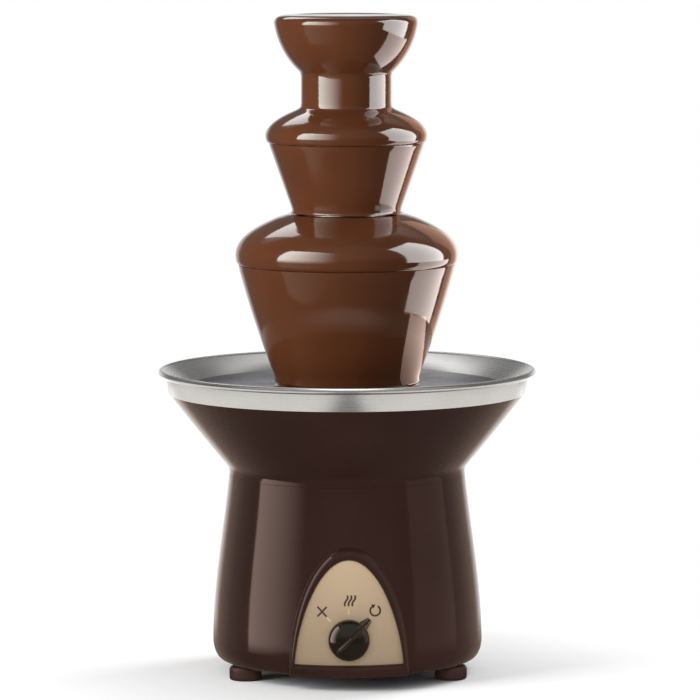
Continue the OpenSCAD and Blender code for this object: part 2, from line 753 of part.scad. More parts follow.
module neck_coat() {
    color(cocoa) rotate_extrude() polygon([[tube_r + 0.1, neck_z + film_gap], [neck_r, neck_z + film_gap],
        [neck_r, crown_z - 1.5], [neck_r + 0.5, crown_z], [tube_r + 0.1, crown_z]]);
}

// The film over a dome, thick enough to hide the sheet, ending in a rounded edge.
module upper_coat() {
    line = dome_line(upper_dome_r, upper_dome_z, upper_fall, upper_top_r, 6);
    under = dome_line(upper_dome_r - film - 0.05, upper_dome_z - 1.3, upper_fall, tube_r + 1.3, 6);
    edge = [[-3.6, -4.05], [-3.6, -4.8], [-2.4, -4.8], [-0.6, -3]];
    color(cocoa) rotate_extrude() polygon(concat([for (p = edge) [upper_dome_r, upper_dome_z] + p], line,
        [[neck_r, neck_z], [tube_r + 0.1, neck_z], [tube_r + 0.1, under[6].y + 0.3]], reverse(under),
        [[under[0].x, upper_dome_z - 4.05]]));
}

module upper_curtain() {
    foot = [tube_r + 8.4, lower_top_z + 0.4];
    top = [upper_dome_r - 2.6, upper_dome_z - 5];
    color(cocoa) rotate_extrude() polygon([foot, top, top - [curtain, 0], foot - [curtain, 0]]);
}

module lower_coat() {
    line = dome_line(lower_dome_r, lower_dome_z, lower_fall, lower_top_r, 6);
    under = dome_line(lower_dome_r - film - 0.05, lower_dome_z - 1.3, lower_fall, lower_top_r - 0.3, 6);
    edge = [[-3.6, -4.05], [-3.6, -6.2], [-2.1, -6.2], [-0.8, -3.6]];
    bore = tube_r + tube_step + 0.1;
    color(cocoa) rotate_extrude() polygon(concat([for (p = edge) [lower_dome_r, lower_dome_z] + p], line,
        [[tube_r + 9.5, lower_top_z + 0.3], [bore, lower_top_z + 0.5], [bore, under[6].y + 0.3]],
        reverse(under),
        [[under[0].x, lower_dome_z - 4.05]]));
}

module lower_curtain() {
    foot = [lower_dome_r - 30.7, pool_z + 0.3];
    top = [lower_dome_r - 2.2, lower_dome_z - 6.4];
    line = [for (t = [0:0.25:1]) foot + (top - foot) * t + [4 * curtain_bulge * t * (1 - t), 0]];
    color(cocoa) rotate_extrude() polygon(concat(line, [for (p = reverse(line)) p - [curtain, 0]]));
}

module chocolate_pool() {
    bend = wall_bend.y + film_gap < pool_z ? [wall_bend + [-0.15, film_gap]] : [];
    color(cocoa) rotate_extrude() polygon(concat([[pool_bore_r, floor_z + film_gap],
        [floor_r - 0.05, floor_z + film_gap], wall_foot + [-0.1, 0.12]], bend,
        [[bowl_r(pool_z) - 0.38, pool_z], [pool_bore_r, pool_z]]));
}

base_plate();
base_screws();
foot_inserts();
foot_left();
foot_right();
foot_rear();
lower_housing();
panel_frame();
control_panel();
rotary_switch();
switch_nut();
switch_spindle();
control_knob();
cord_gland();
gland_nut();
terminal_block();
chassis_plate();
gearbox_case();
gearbox_cover();
gearbox_screws();
gearbox_bushes();
output_gear();
idler_gear();
idler_pin();
motor_can();
motor_end_plate();
motor_magnets();
motor_rotor();
motor_pinion();
motor_screws();
drive_shaft();
auger_core();
auger_flight();
funnel_housing();
rim_band();
bowl();
bowl_hub();
hub_nut();
hub_bush();
shaft_seal();
heat_spreader();
heating_element();
thermostat();
thermal_fuse();
tie_studs();
tower_tube();
lower_tier();
upper_tier();
crown();
crown_chocolate();
neck_coat();
upper_coat();
upper_curtain();
lower_coat();
lower_curtain();
chocolate_pool();
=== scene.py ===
"""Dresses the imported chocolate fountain: chocolate, bowl, housings, panel, knob, feet and stage."""

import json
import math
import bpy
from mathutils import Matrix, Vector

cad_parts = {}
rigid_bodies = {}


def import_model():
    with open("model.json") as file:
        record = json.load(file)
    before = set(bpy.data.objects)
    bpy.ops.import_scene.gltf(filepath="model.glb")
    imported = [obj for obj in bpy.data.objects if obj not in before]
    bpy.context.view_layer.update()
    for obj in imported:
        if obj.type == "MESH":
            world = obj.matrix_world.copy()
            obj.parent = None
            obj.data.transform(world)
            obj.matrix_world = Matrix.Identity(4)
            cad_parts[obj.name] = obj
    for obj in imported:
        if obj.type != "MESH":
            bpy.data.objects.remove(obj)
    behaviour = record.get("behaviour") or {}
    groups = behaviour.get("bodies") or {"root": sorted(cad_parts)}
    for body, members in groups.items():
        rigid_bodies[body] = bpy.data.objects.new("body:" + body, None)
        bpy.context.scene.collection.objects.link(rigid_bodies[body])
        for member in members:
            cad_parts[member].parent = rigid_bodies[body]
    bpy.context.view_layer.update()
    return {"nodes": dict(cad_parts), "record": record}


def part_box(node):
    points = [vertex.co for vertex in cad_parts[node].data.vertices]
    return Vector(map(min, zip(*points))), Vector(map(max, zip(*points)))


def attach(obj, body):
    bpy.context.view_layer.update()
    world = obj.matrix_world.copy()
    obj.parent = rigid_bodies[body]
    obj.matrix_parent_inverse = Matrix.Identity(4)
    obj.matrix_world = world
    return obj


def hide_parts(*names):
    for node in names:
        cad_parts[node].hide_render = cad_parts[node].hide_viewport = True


bl_info = {
    "name": "Chocolate fountain",
    "version": (1, 0, 0),
    "blender": (4, 5, 0),
    "location": "3D View > Sidebar > Fountain",
    "description": "Models the fountain's visible pieces over its frame and sets up the stage",
    "category": "Object",
}

import bpy
from mathutils import Matrix, Quaternion, Vector

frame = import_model()

MM = 0.001
FULL_TURN = 2 * math.pi
MERGE_GAP = 0.004 * MM


def reach_of(node):
    """The greatest radius of a turned node."""
    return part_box(node)[1][0]


def top_of(node):
    """The height of a node's highest point."""
    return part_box(node)[1][2]


def bottom_of(node):
    """The height of a node's lowest point."""
    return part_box(node)[0][2]


# The films in millimetres: the thickness of the chocolate, how far its drip edges hang and reach inwards,
# and the place of the ink over the drum's face and its thickness
FILM = 2.05
UPPER_DRIP = 4.8
LOWER_DRIP = 6.2
DRIP_REACH = 3.6
INK_RISE = -0.18
INK_FILM = 0.2

# Heights in millimetres, from the ground up
BASE_Z = bottom_of("lower_housing") / MM
DRUM_FOOT_Z = BASE_Z + 14
PANEL_Z = bottom_of("control_panel") / MM - 0.1
FRAME_TOP_Z = top_of("panel_frame") / MM - 3
WAIST_Z = top_of("lower_housing") / MM
BOWL_FLOOR_Z = bottom_of("bowl") / MM + 1
FUNNEL_TOP_Z = bottom_of("rim_band") / MM
BAND_TOP_Z = top_of("rim_band") / MM
LIP_Z = top_of("bowl") / MM
LOWER_EDGE_Z = bottom_of("lower_coat") / MM + LOWER_DRIP
UPPER_EDGE_Z = bottom_of("upper_coat") / MM + UPPER_DRIP
CROWN_Z = top_of("neck_coat") / MM

# Radii and widths in millimetres
UPPER_FALL_R = 38.9
LOWER_FALL_R = 50.3
POOL_WELL_R = 33.9
BOWL_HOLE_R = 14.2
BOWL_FLOOR_R = 72.0
BOWL_KNEE_R = 79.0
BOWL_WALL_R = 114.0
DRUM_BASE_R = 91.6
FRAME_WIDTH = 86.0
PANEL_WIDTH = 77.6
PANEL_HEIGHT = 75.0
FEET_CIRCLE_R = 86.0

# How the two arches round off towards their tops
FRAME_ROUNDING = 2
PANEL_ROUNDING = 1.5

# The knob's axis, on the face of the panel, and its turn at rest in degrees
KNOB_JOINT = next(joint for joint in frame["record"]["behaviour"]["joints"] if joint["name"] == "knob_turn")
KNOB_SEAT = Vector(KNOB_JOINT["pos_m"])
KNOB_AXIS = Vector(KNOB_JOINT["axis"])
KNOB_Z = KNOB_SEAT.z / MM
KNOB_REST = -45


def length(name, description, default):
    """A size in metres that the sidebar shows with its unit."""
    return bpy.props.FloatProperty(
        name=name, description=description, default=default, min=0.0, precision=4, unit="LENGTH")


def tint(name, description, default):
    """A colour that the sidebar shows as a swatch."""
    return bpy.props.FloatVectorProperty(
        name=name, description=description, default=default, min=0.0, max=1.0, size=3, subtype="COLOR")


class FountainSizes(bpy.types.PropertyGroup):
    """The sizes of the visible pieces."""

    crown_radius: length(
        "Crown radius", "Greatest radius of the chocolate on the crown", reach_of("crown_chocolate"))
    brim_height: length("Brim height", "Height of the crown's brim", top_of("crown_chocolate"))
    neck_radius: length("Neck radius", "Radius of the coated neck", 0.0329)
    upper_radius: length("Upper dome radius", "Greatest radius of the upper dome", reach_of("upper_coat"))
    lower_radius: length("Lower dome radius", "Greatest radius of the lower dome", reach_of("lower_coat"))
    pool_level: length("Pool level", "Height of the chocolate in the bowl", top_of("chocolate_pool"))
    pool_ripple: length("Pool ripple", "Height of the rings where the curtain meets the pool", 0.00035)
    film_ripple: length("Film ripple", "How far the falling film wavers", 0.00012)
    lip_radius: length("Lip radius", "Radius of the bowl over its rolled lip", reach_of("bowl"))
    bead_radius: length("Bead radius", "Radius of the bowl's rolled bead", 0.0024)
    funnel_radius: length("Funnel radius", "Radius of the funnel's top edge", reach_of("funnel_housing"))
    waist_radius: length("Waist radius", "Radius of the housings at their seam", 0.0861)
    drum_radius: length("Drum radius", "Radius of the drum just above its bottom corner", 0.0985)
    drum_bulge: length("Drum bulge", "How far the drum swells over its straight taper", 0.0017)
    frame_rise: length("Frame rise", "How far the panel's frame stands out of the drum", 0.0032)
    mark_width: length("Mark width", "Width of the printed dial marks", 0.0013)
    knob_radius: length("Knob radius", "Radius of the control knob", 0.0150)
    foot_radius: length("Foot radius", "Radius of a foot pad", 0.0117)
    turn_steps: bpy.props.IntProperty(
        name="Turning steps", description="Faces round a turned piece", default=144, min=24, max=360)


class FountainColours(bpy.types.PropertyGroup):
    """The colours of the finishes."""

    chocolate: tint("Chocolate", "Colour of the melted chocolate", (0.078, 0.0255, 0.0100))
    housing: tint("Housing", "Colour of the brown mouldings", (0.030, 0.0130, 0.0100))
    trim: tint("Trim", "Colour of the frame, knob and gland", (0.011, 0.0068, 0.0036))
    feet: tint("Feet", "Colour of the feet", (0.040, 0.0180, 0.0145))
    panel: tint("Panel", "Colour of the satin gold panel", (0.610, 0.452, 0.296))
    steel: tint("Steel", "Colour of the brushed steel", (0.740, 0.730, 0.715))
    ink: tint("Dark ink", "Colour of the dial's signs", (0.055, 0.026, 0.016))
    pale_ink: tint("Pale ink", "Colour of the dial's ticks", (0.680, 0.545, 0.385))
    floor: tint("Floor", "Colour of the floor", (0.900, 0.900, 0.900))


def eased(points, trim, steps=5):
    """A line whose inner corners are rounded, starting trim before each of them."""
    line = [points[0]]
    for before, corner, after in zip(points, points[1:], points[2:]):
        legs = []
        for end in (before, after):
            gap = math.dist(end, corner)
            part = min(trim, gap * 0.45) / gap
            legs.append([c + (e - c) * part for c, e in zip(corner, end)])
        for step in range(steps + 1):
            t = step / steps
            line.append(tuple(
                a * (1 - t) ** 2 + 2 * c * t * (1 - t) + b * t * t
                for a, c, b in zip(legs[0], corner, legs[1])))
    line.append(points[-1])
    return line


def smooth(points, steps=5):
    """A smooth line through the points."""
    line = []
    for i in range(len(points) - 1):
        p0, p1, p2, p3 = (points[min(max(i + k, 0), len(points) - 1)] for k in (-1, 0, 1, 2))
        for step in range(steps):
            t = step / steps
            line.append(tuple(
                0.5 * (2 * b + (c - a) * t + (2 * a - 5 * b + 4 * c - d) * t ** 2
                       + (3 * b - a - 3 * c + d) * t ** 3)
                for a, b, c, d in zip(p0, p1, p2, p3)))
    line.append(points[-1])
    return line


def arc(centre, radius, start, end, steps):
    """Points on an arc, by angles in degrees."""
    angles = [math.radians(start + (end - start) * i / steps) for i in range(steps + 1)]
    return [(centre[0] + radius * math.cos(a), centre[1] + radius * math.sin(a)) for a in angles]


def dome(radius, edge_z, rise, top_radius, power, first=0.0, last=1.0, steps=18):
    """A dome's side: its radius falls with a power of the height above its edge."""
    shares = [max(0.0, first + (last - first) * i / steps) for i in range(steps + 1)]
    return [(radius - (radius - top_radius) * s ** power, edge_z + rise * s) for s in shares]


def drum_r(z, sizes):
    """The drum's radius in millimetres, carried straight down below its bottom corner."""
    foot = sizes.drum_radius / MM
    t = max(0.0, (z - DRUM_FOOT_Z) / (WAIST_Z - DRUM_FOOT_Z))
    # The swell is greatest, and equal to the bulge, a third of the way up
    swell = 27 / 4 * t * (1 - t) ** 2
    return foot + (sizes.waist_radius / MM - foot) * t + sizes.drum_bulge / MM * swell


def on_drum(x, z, rise, sizes):
    """The point in metres that lies rise in front of the drum's face, seen from the front at x and z."""
    radius = drum_r(z, sizes) + rise
    return Vector((x, -math.sqrt(radius * radius - x * x), z)) * MM


def arch_loop(width, height, power, foot_z, side=40, foot=20):
    """A closed outline: up the right side of an arch, down its left side and back along its foot."""
    right = []
    for i in range(side + 1):
        u = 1 - (1 - i / side) ** 2
        right.append((width / 2 * math.sqrt(max(0.0, 1 - u ** power)), foot_z + height * u))
    left = [(-x, z) for x, z in reversed(right[:-1])]
    bottom = [(width * (i / foot - 0.5), foot_z) for i in range(1, foot)]
    return right + left + bottom


def begin():
    """Deselects everything before a new piece is added."""
    if bpy.context.object and bpy.context.object.mode != "OBJECT":
        bpy.ops.object.mode_set(mode="OBJECT")
    bpy.ops.object.select_all(action="DESELECT")


def added(name):
    """Names the primitive that was just added."""
    piece = bpy.context.object
    piece.name = name
    piece.data.name = name
    return piece


def draw_line(points):
    """Draws a line in edit mode from one vertex, one extrusion at a time."""
    bpy.ops.mesh.merge(type="CENTER")
    bpy.ops.transform.translate(value=points[0])
    for before, after in zip(points, points[1:]):
        step = [b - a for a, b in zip(before, after)]
        bpy.ops.mesh.extrude_region_move(TRANSFORM_OT_translate={"value": step})


def close_up():
    """Merges the active piece's doubles, points every face outwards and ends in object mode."""
    bpy.ops.object.mode_set(mode="EDIT")
    bpy.ops.mesh.select_all(action="SELECT")
    bpy.ops.mesh.remove_doubles(threshold=MERGE_GAP)
    bpy.ops.mesh.normals_make_consistent(inside=False)
    bpy.ops.object.mode_set(mode="OBJECT")


def turned(name, profile, steps):
    """A piece turned about Z from a closed line of (radius, height) points in millimetres."""
    begin()
    bpy.ops.mesh.primitive_plane_add(size=MM)
    piece = added(name)
    bpy.ops.object.mode_set(mode="EDIT")
    line = profile if profile[0][0] == 0 and profile[-1][0] == 0 else profile + profile[:1]
    draw_line([(r * MM, 0.0, z * MM) for r, z in line])
    bpy.ops.mesh.select_all(action="SELECT")
    bpy.ops.mesh.spin(steps=steps, angle=FULL_TURN, center=(0, 0, 0), axis=(0, 0, 1))
    close_up()
    return piece


def reshape(piece, move):
    """Moves each vertex of a piece by a rule on its place."""
    for vertex in piece.data.vertices:
        vertex.co = move(vertex.co)
    piece.data.update()


def sheet_of(name, across, along, place):
    """A grid whose points are placed by their share across and along."""
    begin()
    bpy.ops.mesh.primitive_grid_add(x_subdivisions=across, y_subdivisions=along, size=2)
    piece = added(name)
    reshape(piece, lambda co: place((co.x + 1) / 2, (co.y + 1) / 2))
    close_up()
    return piece


def face_forward(piece):
    """Turns an open sheet's faces towards the front."""
    if sum(polygon.normal.y * polygon.area for polygon in piece.data.polygons) > 0:
        select_only(piece)
        bpy.ops.object.mode_set(mode="EDIT")
        bpy.ops.mesh.select_all(action="SELECT")
        bpy.ops.mesh.flip_normals()
        bpy.ops.object.mode_set(mode="OBJECT")


def closed_band(name, around, rows, place):
    """A closed ring of sections whose points are placed by their number round the ring and the section."""
    begin()
    bpy.ops.mesh.primitive_torus_add(
        major_segments=around, minor_segments=rows, major_radius=1.0, minor_radius=0.25)
    piece = added(name)

    def move(co):
        i = round(math.atan2(co.y, co.x) / FULL_TURN * around) % around
        j = round(math.atan2(co.z, math.hypot(co.x, co.y) - 1.0) / FULL_TURN * rows) % rows
        return place(i, j)

    reshape(piece, move)
    close_up()
    return piece


def select_only(piece):
    """Makes a piece the only selected and active object."""
    begin()
    piece.select_set(True)
    bpy.context.view_layer.objects.active = piece


def apply_modifier(piece, kind, **settings):
    """Adds a modifier to a piece and applies it."""
    select_only(piece)
    modifier = piece.modifiers.new(kind.title(), kind)
    for key, value in settings.items():
        setattr(modifier, key, value)
    bpy.ops.object.modifier_apply(modifier=modifier.name)


def plate(name, across, along, place, thickness):
    """A sheet that faces the front, with a thickness in millimetres behind its face."""
    piece = sheet_of(name, across, along, place)
    face_forward(piece)
    apply_modifier(piece, "SOLIDIFY", thickness=thickness * MM, offset=-1)
    return piece


def place_mesh(piece, matrix):
    """Puts a piece's place and turn into its mesh."""
    select_only(piece)
    piece.matrix_world = matrix @ piece.matrix_world
    bpy.ops.object.transform_apply(location=True, rotation=True, scale=True)


def join(name, pieces):
    """Joins pieces into the first one."""
    select_only(pieces[0])
    for piece in pieces:
        piece.select_set(True)
    bpy.ops.object.join()
    return added(name)


def dress(context, piece, body, slot, nodes=(), finish=None, angle=35):
    """Gives a piece its body and a finish, which is the slot's own unless another is named."""
    select_only(piece)
    bpy.ops.object.shade_smooth_by_angle(angle=math.radians(angle))
    piece.data.materials.clear()
    piece.data.materials.append(finish_of(context, finish or slot))
    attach(piece, body)
    if nodes:
        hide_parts(*nodes)


class Recipe:
    """The node tree of one finish, with short calls to add and join its nodes."""

    def __init__(self, name):
        self.finish = bpy.data.materials.new(name)
        self.finish.use_nodes = True
        self.tree = self.finish.node_tree
        self.shader = self.tree.nodes["Principled BSDF"]
        self.place = self.add("ShaderNodeTexCoord").outputs["Object"]

    def add(self, kind, values=None, **settings):
        """Adds a node, sets its settings and its input values."""
        node = self.tree.nodes.new(kind)
        for key, value in settings.items():
            setattr(node, key, value)
        for key, value in (values or {}).items():
            node.inputs[key].default_value = value
        return node

    def link(self, source, target):
        """Joins two sockets."""
        self.tree.links.new(source, target)

    def set(self, **values):
        """Sets the shader's own sockets, named with underscores."""
        for key, value in values.items():
            self.shader.inputs[key.replace("_", " ")].default_value = value

    def stretched(self, scale):
        """Object coordinates stretched by a scale along each axis."""
        mapping = self.add("ShaderNodeMapping", {"Scale": scale})
        self.link(self.place, mapping.inputs["Vector"])
        return mapping.outputs["Vector"]

    def round_axis(self):
        """Coordinates that keep one value all round the Z axis: the radius and the height."""
        split = self.add("ShaderNodeSeparateXYZ")
        self.link(self.place, split.inputs[0])
        flat = self.add("ShaderNodeCombineXYZ")
        self.link(split.outputs["X"], flat.inputs["X"])
        self.link(split.outputs["Y"], flat.inputs["Y"])
        size = self.add("ShaderNodeVectorMath", operation="LENGTH")
        self.link(flat.outputs[0], size.inputs[0])
        rings = self.add("ShaderNodeCombineXYZ")
        self.link(size.outputs["Value"], rings.inputs["X"])
        self.link(split.outputs["Z"], rings.inputs["Y"])
        return rings.outputs[0]

    def noise(self, where, scale, detail=3.0, roughness=0.5):
        """A noise over the given coordinates."""
        node = self.add("ShaderNodeTexNoise", {"Scale": scale, "Detail": detail, "Roughness": roughness})
        self.link(where, node.inputs["Vector"])
        return node.outputs["Fac"]

    def shades(self, value, stops):
        """Colours the surface by a value, from stops of (place, colour)."""
        ramp = self.add("ShaderNodeValToRGB")
        for index, (at, colour) in enumerate(stops):
            element = ramp.color_ramp.elements[index] if index < 2 else ramp.color_ramp.elements.new(at)
            element.position = at
            element.color = (*colour, 1.0)
        self.link(value, ramp.inputs["Fac"])
        self.link(ramp.outputs["Color"], self.shader.inputs["Base Color"])

    def tones(self, value, colour, dark, light):
        """Lets a colour go from a darker to a lighter tone with a value."""
        self.shades(value, [(0.3, shade(colour, dark)), (0.7, shade(colour, light))])

    def roughness(self, value, low, high):
        """Varies the roughness between two limits."""
        spread = self.add("ShaderNodeMapRange", {
            "From Min": 0.3, "From Max": 0.7, "To Min": low, "To Max": high})
        self.link(value, spread.inputs["Value"])
        self.link(spread.outputs["Result"], self.shader.inputs["Roughness"])

    def bumps(self, *layers):
        """Stacks bumps of (height value, strength, distance in metres)."""
        normal = None
        for height, strength, distance in layers:
            bump = self.add("ShaderNodeBump", {"Strength": strength, "Distance": distance})
            self.link(height, bump.inputs["Height"])
            if normal:
                self.link(normal, bump.inputs["Normal"])
            normal = bump.outputs["Normal"]
        self.link(normal, self.shader.inputs["Normal"])


def shade(colour, factor):
    """A colour made lighter or darker."""
    return tuple(min(1.0, channel * factor) for channel in colour)


def melted_chocolate(colours):
    """Wet, flowing chocolate: streaks that run down the film and a soft gloss."""
    recipe = Recipe("melted_chocolate")
    streaks = recipe.noise(recipe.stretched((1.0, 1.0, 0.16)), 85.0, 4.0)
    clouds = recipe.noise(recipe.place, 14.0, 2.0)
    recipe.shades(clouds, [(0.32, shade(colours.chocolate, 0.86)), (0.55, colours.chocolate),
                           (0.72, shade(colours.chocolate, 1.12))])
    recipe.roughness(streaks, 0.05, 0.11)
    recipe.bumps((clouds, 0.10, 0.0015), (streaks, 0.035, 0.0006))
    recipe.set(IOR=1.34)
    return recipe.finish


def still_chocolate(colours):
    """The pool's surface: the same chocolate, nearly flat, with faint swirls, painted darker as painted
    shade and with a faint bluish sheen as a painted reflection.
    """
    recipe = Recipe("still_chocolate")
    swirls = recipe.noise(recipe.round_axis(), 60.0, 3.0)
    clouds = recipe.noise(recipe.place, 22.0, 2.0)
    # Painted shade: the pool is a darker copy of the chocolate's colour
    recipe.tones(clouds, colours.chocolate, 0.40, 0.55)
    recipe.roughness(clouds, 0.16, 0.26)
    recipe.bumps((swirls, 0.05, 0.0008), (clouds, 0.06, 0.0012))
    # Painted reflection: a faint bluish sheen at grazing angles
    recipe.set(IOR=1.28, Sheen_Weight=0.08, Sheen_Roughness=0.3, Sheen_Tint=(0.34, 0.55, 1.0, 1.0))
    return recipe.finish


def moulded_plastic(name, colour, gloss, coat):
    """A glossy moulding: a faint orange peel, handling marks in the gloss, slight shifts of colour, and a
    warm sheen at its edges as a painted rim glow.
    """
    recipe = Recipe(name)
    clouds = recipe.noise(recipe.place, 18.0, 4.0)
    peel = recipe.noise(recipe.place, 620.0, 2.0)
    handling = recipe.noise(recipe.stretched((1.0, 1.0, 0.6)), 46.0, 6.0, 0.6)
    recipe.tones(clouds, colour, 0.90, 1.12)
    recipe.roughness(handling, gloss * 0.75, gloss * 1.35)
    recipe.bumps((peel, 0.05, 0.0001), (clouds, 0.03, 0.001))
    # Painted reflection: the warm sheen lights the moulding's edges at grazing angles
    recipe.set(IOR=1.45, Specular_IOR_Level=0.26, Coat_Weight=coat, Coat_Roughness=0.06,
               Sheen_Weight=0.2, Sheen_Roughness=0.35, Sheen_Tint=(0.9, 0.6, 0.42, 1.0))
    return recipe.finish


def soft_plastic(name, colour, rough):
    """A matt moulding with a fine spark texture."""
    recipe = Recipe(name)
    clouds = recipe.noise(recipe.place, 30.0, 4.0)
    spark = recipe.noise(recipe.place, 1500.0, 2.0)
    recipe.tones(clouds, colour, 0.85, 1.18)
    recipe.roughness(spark, rough * 0.85, min(1.0, rough * 1.15))
    recipe.bumps((spark, 0.18, 0.00012))
    recipe.set(Specular_IOR_Level=0.3)
    return recipe.finish


def satin_gold(colours):
    """The panel's satin metallic finish: a fine cross grain, and painted light and shade that run from
    darker at its foot to lighter at its top.
    """
    recipe = Recipe("satin_gold")
    grain = recipe.noise(recipe.stretched((0.12, 1.0, 1.0)), 2600.0, 2.0)
    # Painted light and shade: the panel's colour runs by height, from darker at its foot to lighter at its
    # top
    height = recipe.add("ShaderNodeSeparateXYZ")
    recipe.link(recipe.stretched((0.0, 0.0, 10.0)), height.inputs[0])
    recipe.shades(height.outputs["Z"], [
        (0.2, shade(colours.panel, 0.78)), (0.92, shade(colours.panel, 1.24))])
    recipe.roughness(grain, 0.34, 0.46)
    recipe.bumps((grain, 0.05, 0.00005))
    recipe.set(Metallic=0.4)
    return recipe.finish


def spun_steel(name, colour, low, high, lines):
    """Steel spun on a lathe: fine rings in its gloss."""
    recipe = Recipe(name)
    rings = recipe.noise(recipe.round_axis(), lines, 3.0, 0.6)
    smears = recipe.noise(recipe.place, 26.0, 4.0)
    recipe.tones(smears, colour, 0.94, 1.04)
    recipe.roughness(rings, low, high)
    recipe.bumps((rings, 0.06, 0.00008))
    recipe.set(Metallic=1.0)
    return recipe.finish


def worked_metal(name, colour, low, high, scale, strength):
    """Plated, cast or sintered metal: mottled gloss and a grain of the given scale."""
    recipe = Recipe(name)
    grain = recipe.noise(recipe.place, scale, 3.0)
    mottle = recipe.noise(recipe.place, 55.0, 4.0)
    recipe.tones(mottle, colour, 0.86, 1.10)
    recipe.roughness(grain, low, high)
    recipe.bumps((grain, strength, 0.0002))
    recipe.set(Metallic=1.0)
    return recipe.finish


def print_ink(name, colour):
    """Screen-printed ink with slightly uneven cover."""
    recipe = Recipe(name)
    cover = recipe.noise(recipe.place, 900.0, 3.0)
    recipe.tones(cover, colour, 0.82, 1.15)
    recipe.roughness(cover, 0.42, 0.58)
    recipe.bumps((cover, 0.08, 0.00005))
    return recipe.finish


def slot_finishes(colours):
    """One finish for each material slot of the record, and for the pool and the two inks."""
    return {
        "brown_plastic": moulded_plastic("brown_moulding", colours.housing, 0.09, 0.06),
        "dark_plastic": moulded_plastic("dark_moulding", colours.trim, 0.10, 0.70),
        "foot_plastic": soft_plastic("foot_moulding", colours.feet, 0.42),
        "panel_gold": satin_gold(colours),
        "bowl_steel": spun_steel("bowl_steel", colours.steel, 0.20, 0.33, 1400.0),
        "tower_steel": spun_steel("tower_steel", shade(colours.steel, 0.95), 0.24, 0.36, 1100.0),
        "plated_steel": worked_metal("zinc_plate", (0.60, 0.61, 0.62), 0.28, 0.44, 420.0, 0.10),
        "cast_alloy": worked_metal("cast_alloy", (0.52, 0.53, 0.54), 0.42, 0.60, 700.0, 0.30),
        "bearing_bronze": worked_metal("sintered_bronze", (0.58, 0.37, 0.18), 0.36, 0.52, 1600.0, 0.30),
        "pale_nylon": soft_plastic("pale_nylon", (0.76, 0.74, 0.67), 0.46),
        "magnet_ferrite": soft_plastic("ferrite", (0.045, 0.045, 0.048), 0.70),
        "seal_rubber": soft_plastic("seal_rubber", (0.022, 0.022, 0.023), 0.62),
        "chocolate": melted_chocolate(colours),
        "pool": still_chocolate(colours),
        "ink": print_ink("dark_ink", colours.ink),
        "pale_ink": print_ink("pale_ink", colours.pale_ink),
    }


FINISHES = {}


def finish_of(context, name):
    """The finish of that name. The first call makes them all."""
    if not FINISHES:
        FINISHES.update(slot_finishes(context.scene.fountain_colours))
    return FINISHES[name]


def waver(sizes, waves):
    """A rule that lets a film's radius waver a little round the axis and down its fall."""
    depth = sizes.film_ripple
    still_radius = 0.02

    def move(co):
        radius = math.hypot(co.x, co.y)
        if radius < still_radius:
            return co
        angle = math.atan2(co.y, co.x)
        z = co.z / MM
        swell = (math.sin(waves * angle + 0.021 * z) + 0.6 * math.sin((waves + 4) * angle - 0.034 * z + 1.3)
                 + 0.4 * math.sin(3 * angle + 0.09 * z + 0.4))
        gain = 1 + depth * swell / 2 / radius
        return Vector((co.x * gain, co.y * gain, co.z))

    return move


def film(context, name, profile, waves, nodes):
    """Turns a wavering film of chocolate that rides on the tower."""
    sizes = context.scene.fountain_sizes
    piece = turned(name, profile, sizes.turn_steps)
    reshape(piece, waver(sizes, waves))
    dress(context, piece, "tower", "chocolate", nodes)


class FOUNTAIN_OT_crown(bpy.types.Operator):
    """Turns the brimful cup of chocolate at the top of the tower"""

    bl_idname = "fountain.crown"
    bl_label = "Crown"

    def execute(self, context):
        sizes = context.scene.fountain_sizes
        r = sizes.crown_radius / MM
        z = sizes.brim_height / MM
        neck = sizes.neck_radius / MM
        cup_wall = 1.5
        cup_r = 26.9
        cup_z = CROWN_Z + 13
        foot, shoulder = self.ends(sizes)
        brim = smooth([shoulder, (r, z - 5.5), (r - 0.6, z - 3.5), (r - 2.2, z - 1.8), (r - 4.8, z - 0.75),
                       (r - 8.2, z - 0.2), (r - 11.2, z - 0.02), (r - 14.0, z - 0.2),
                       (r - 17.0, z - 0.6)], 4)
        fillet = smooth([(neck - 0.05, CROWN_Z - 4.6), (neck + 0.18, CROWN_Z - 2.6),
                         (neck + 0.7, CROWN_Z - 0.9), foot], 4)
        outside = fillet[:-1] + self.side(sizes, 0.0, CROWN_Z + 0.2, 24)
        pool = [(r - 21.0, z - 0.8), (0.0, z - 0.85), (0.0, cup_z), (cup_r, cup_z), (cup_r, cup_z - 2.6)]
        inside = self.side(sizes, FILM + cup_wall, CROWN_Z + 11, 16)
        edge = [(shoulder[0] - FILM - cup_wall, z - 3.3), (shoulder[0] - FILM, z - 3.3)]
        wrap = self.side(sizes, FILM, CROWN_Z + 2, 16)[::-1]
        sleeve = [(neck - 1.3, CROWN_Z - 0.7), (neck - 1.3, CROWN_Z - 4.6)]
        profile = outside + brim + pool + inside + edge + wrap + sleeve
        film(context, "crown_flow", profile, 5, ["crown_chocolate"])
        return {"FINISHED"}

    def ends(self, sizes):
        """Where the cup's side leaves the neck's fillet, and where it runs into the brim."""
        foot = (sizes.neck_radius / MM + 1.66, CROWN_Z + 0.34)
        shoulder = (sizes.crown_radius / MM - 0.15, sizes.brim_height / MM - 7)
        return foot, shoulder

    def side(self, sizes, inset, above, steps):
        """The cup's side: an arc from its foot to its brim, moved inwards by an inset, above a height."""
        curve = 60.0
        foot, end = self.ends(sizes)
        across, up = end[0] - foot[0], end[1] - foot[1]
        lean = math.sqrt((curve / math.hypot(across, up)) ** 2 - 0.25)
        centre = ((foot[0] + end[0]) / 2 - lean * up, (foot[1] + end[1]) / 2 + lean * across)
        first, last = (math.degrees(math.atan2(p[1] - centre[1], p[0] - centre[0])) for p in (foot, end))
        return [p for p in arc(centre, curve - inset, first, last, steps) if p[1] > above]


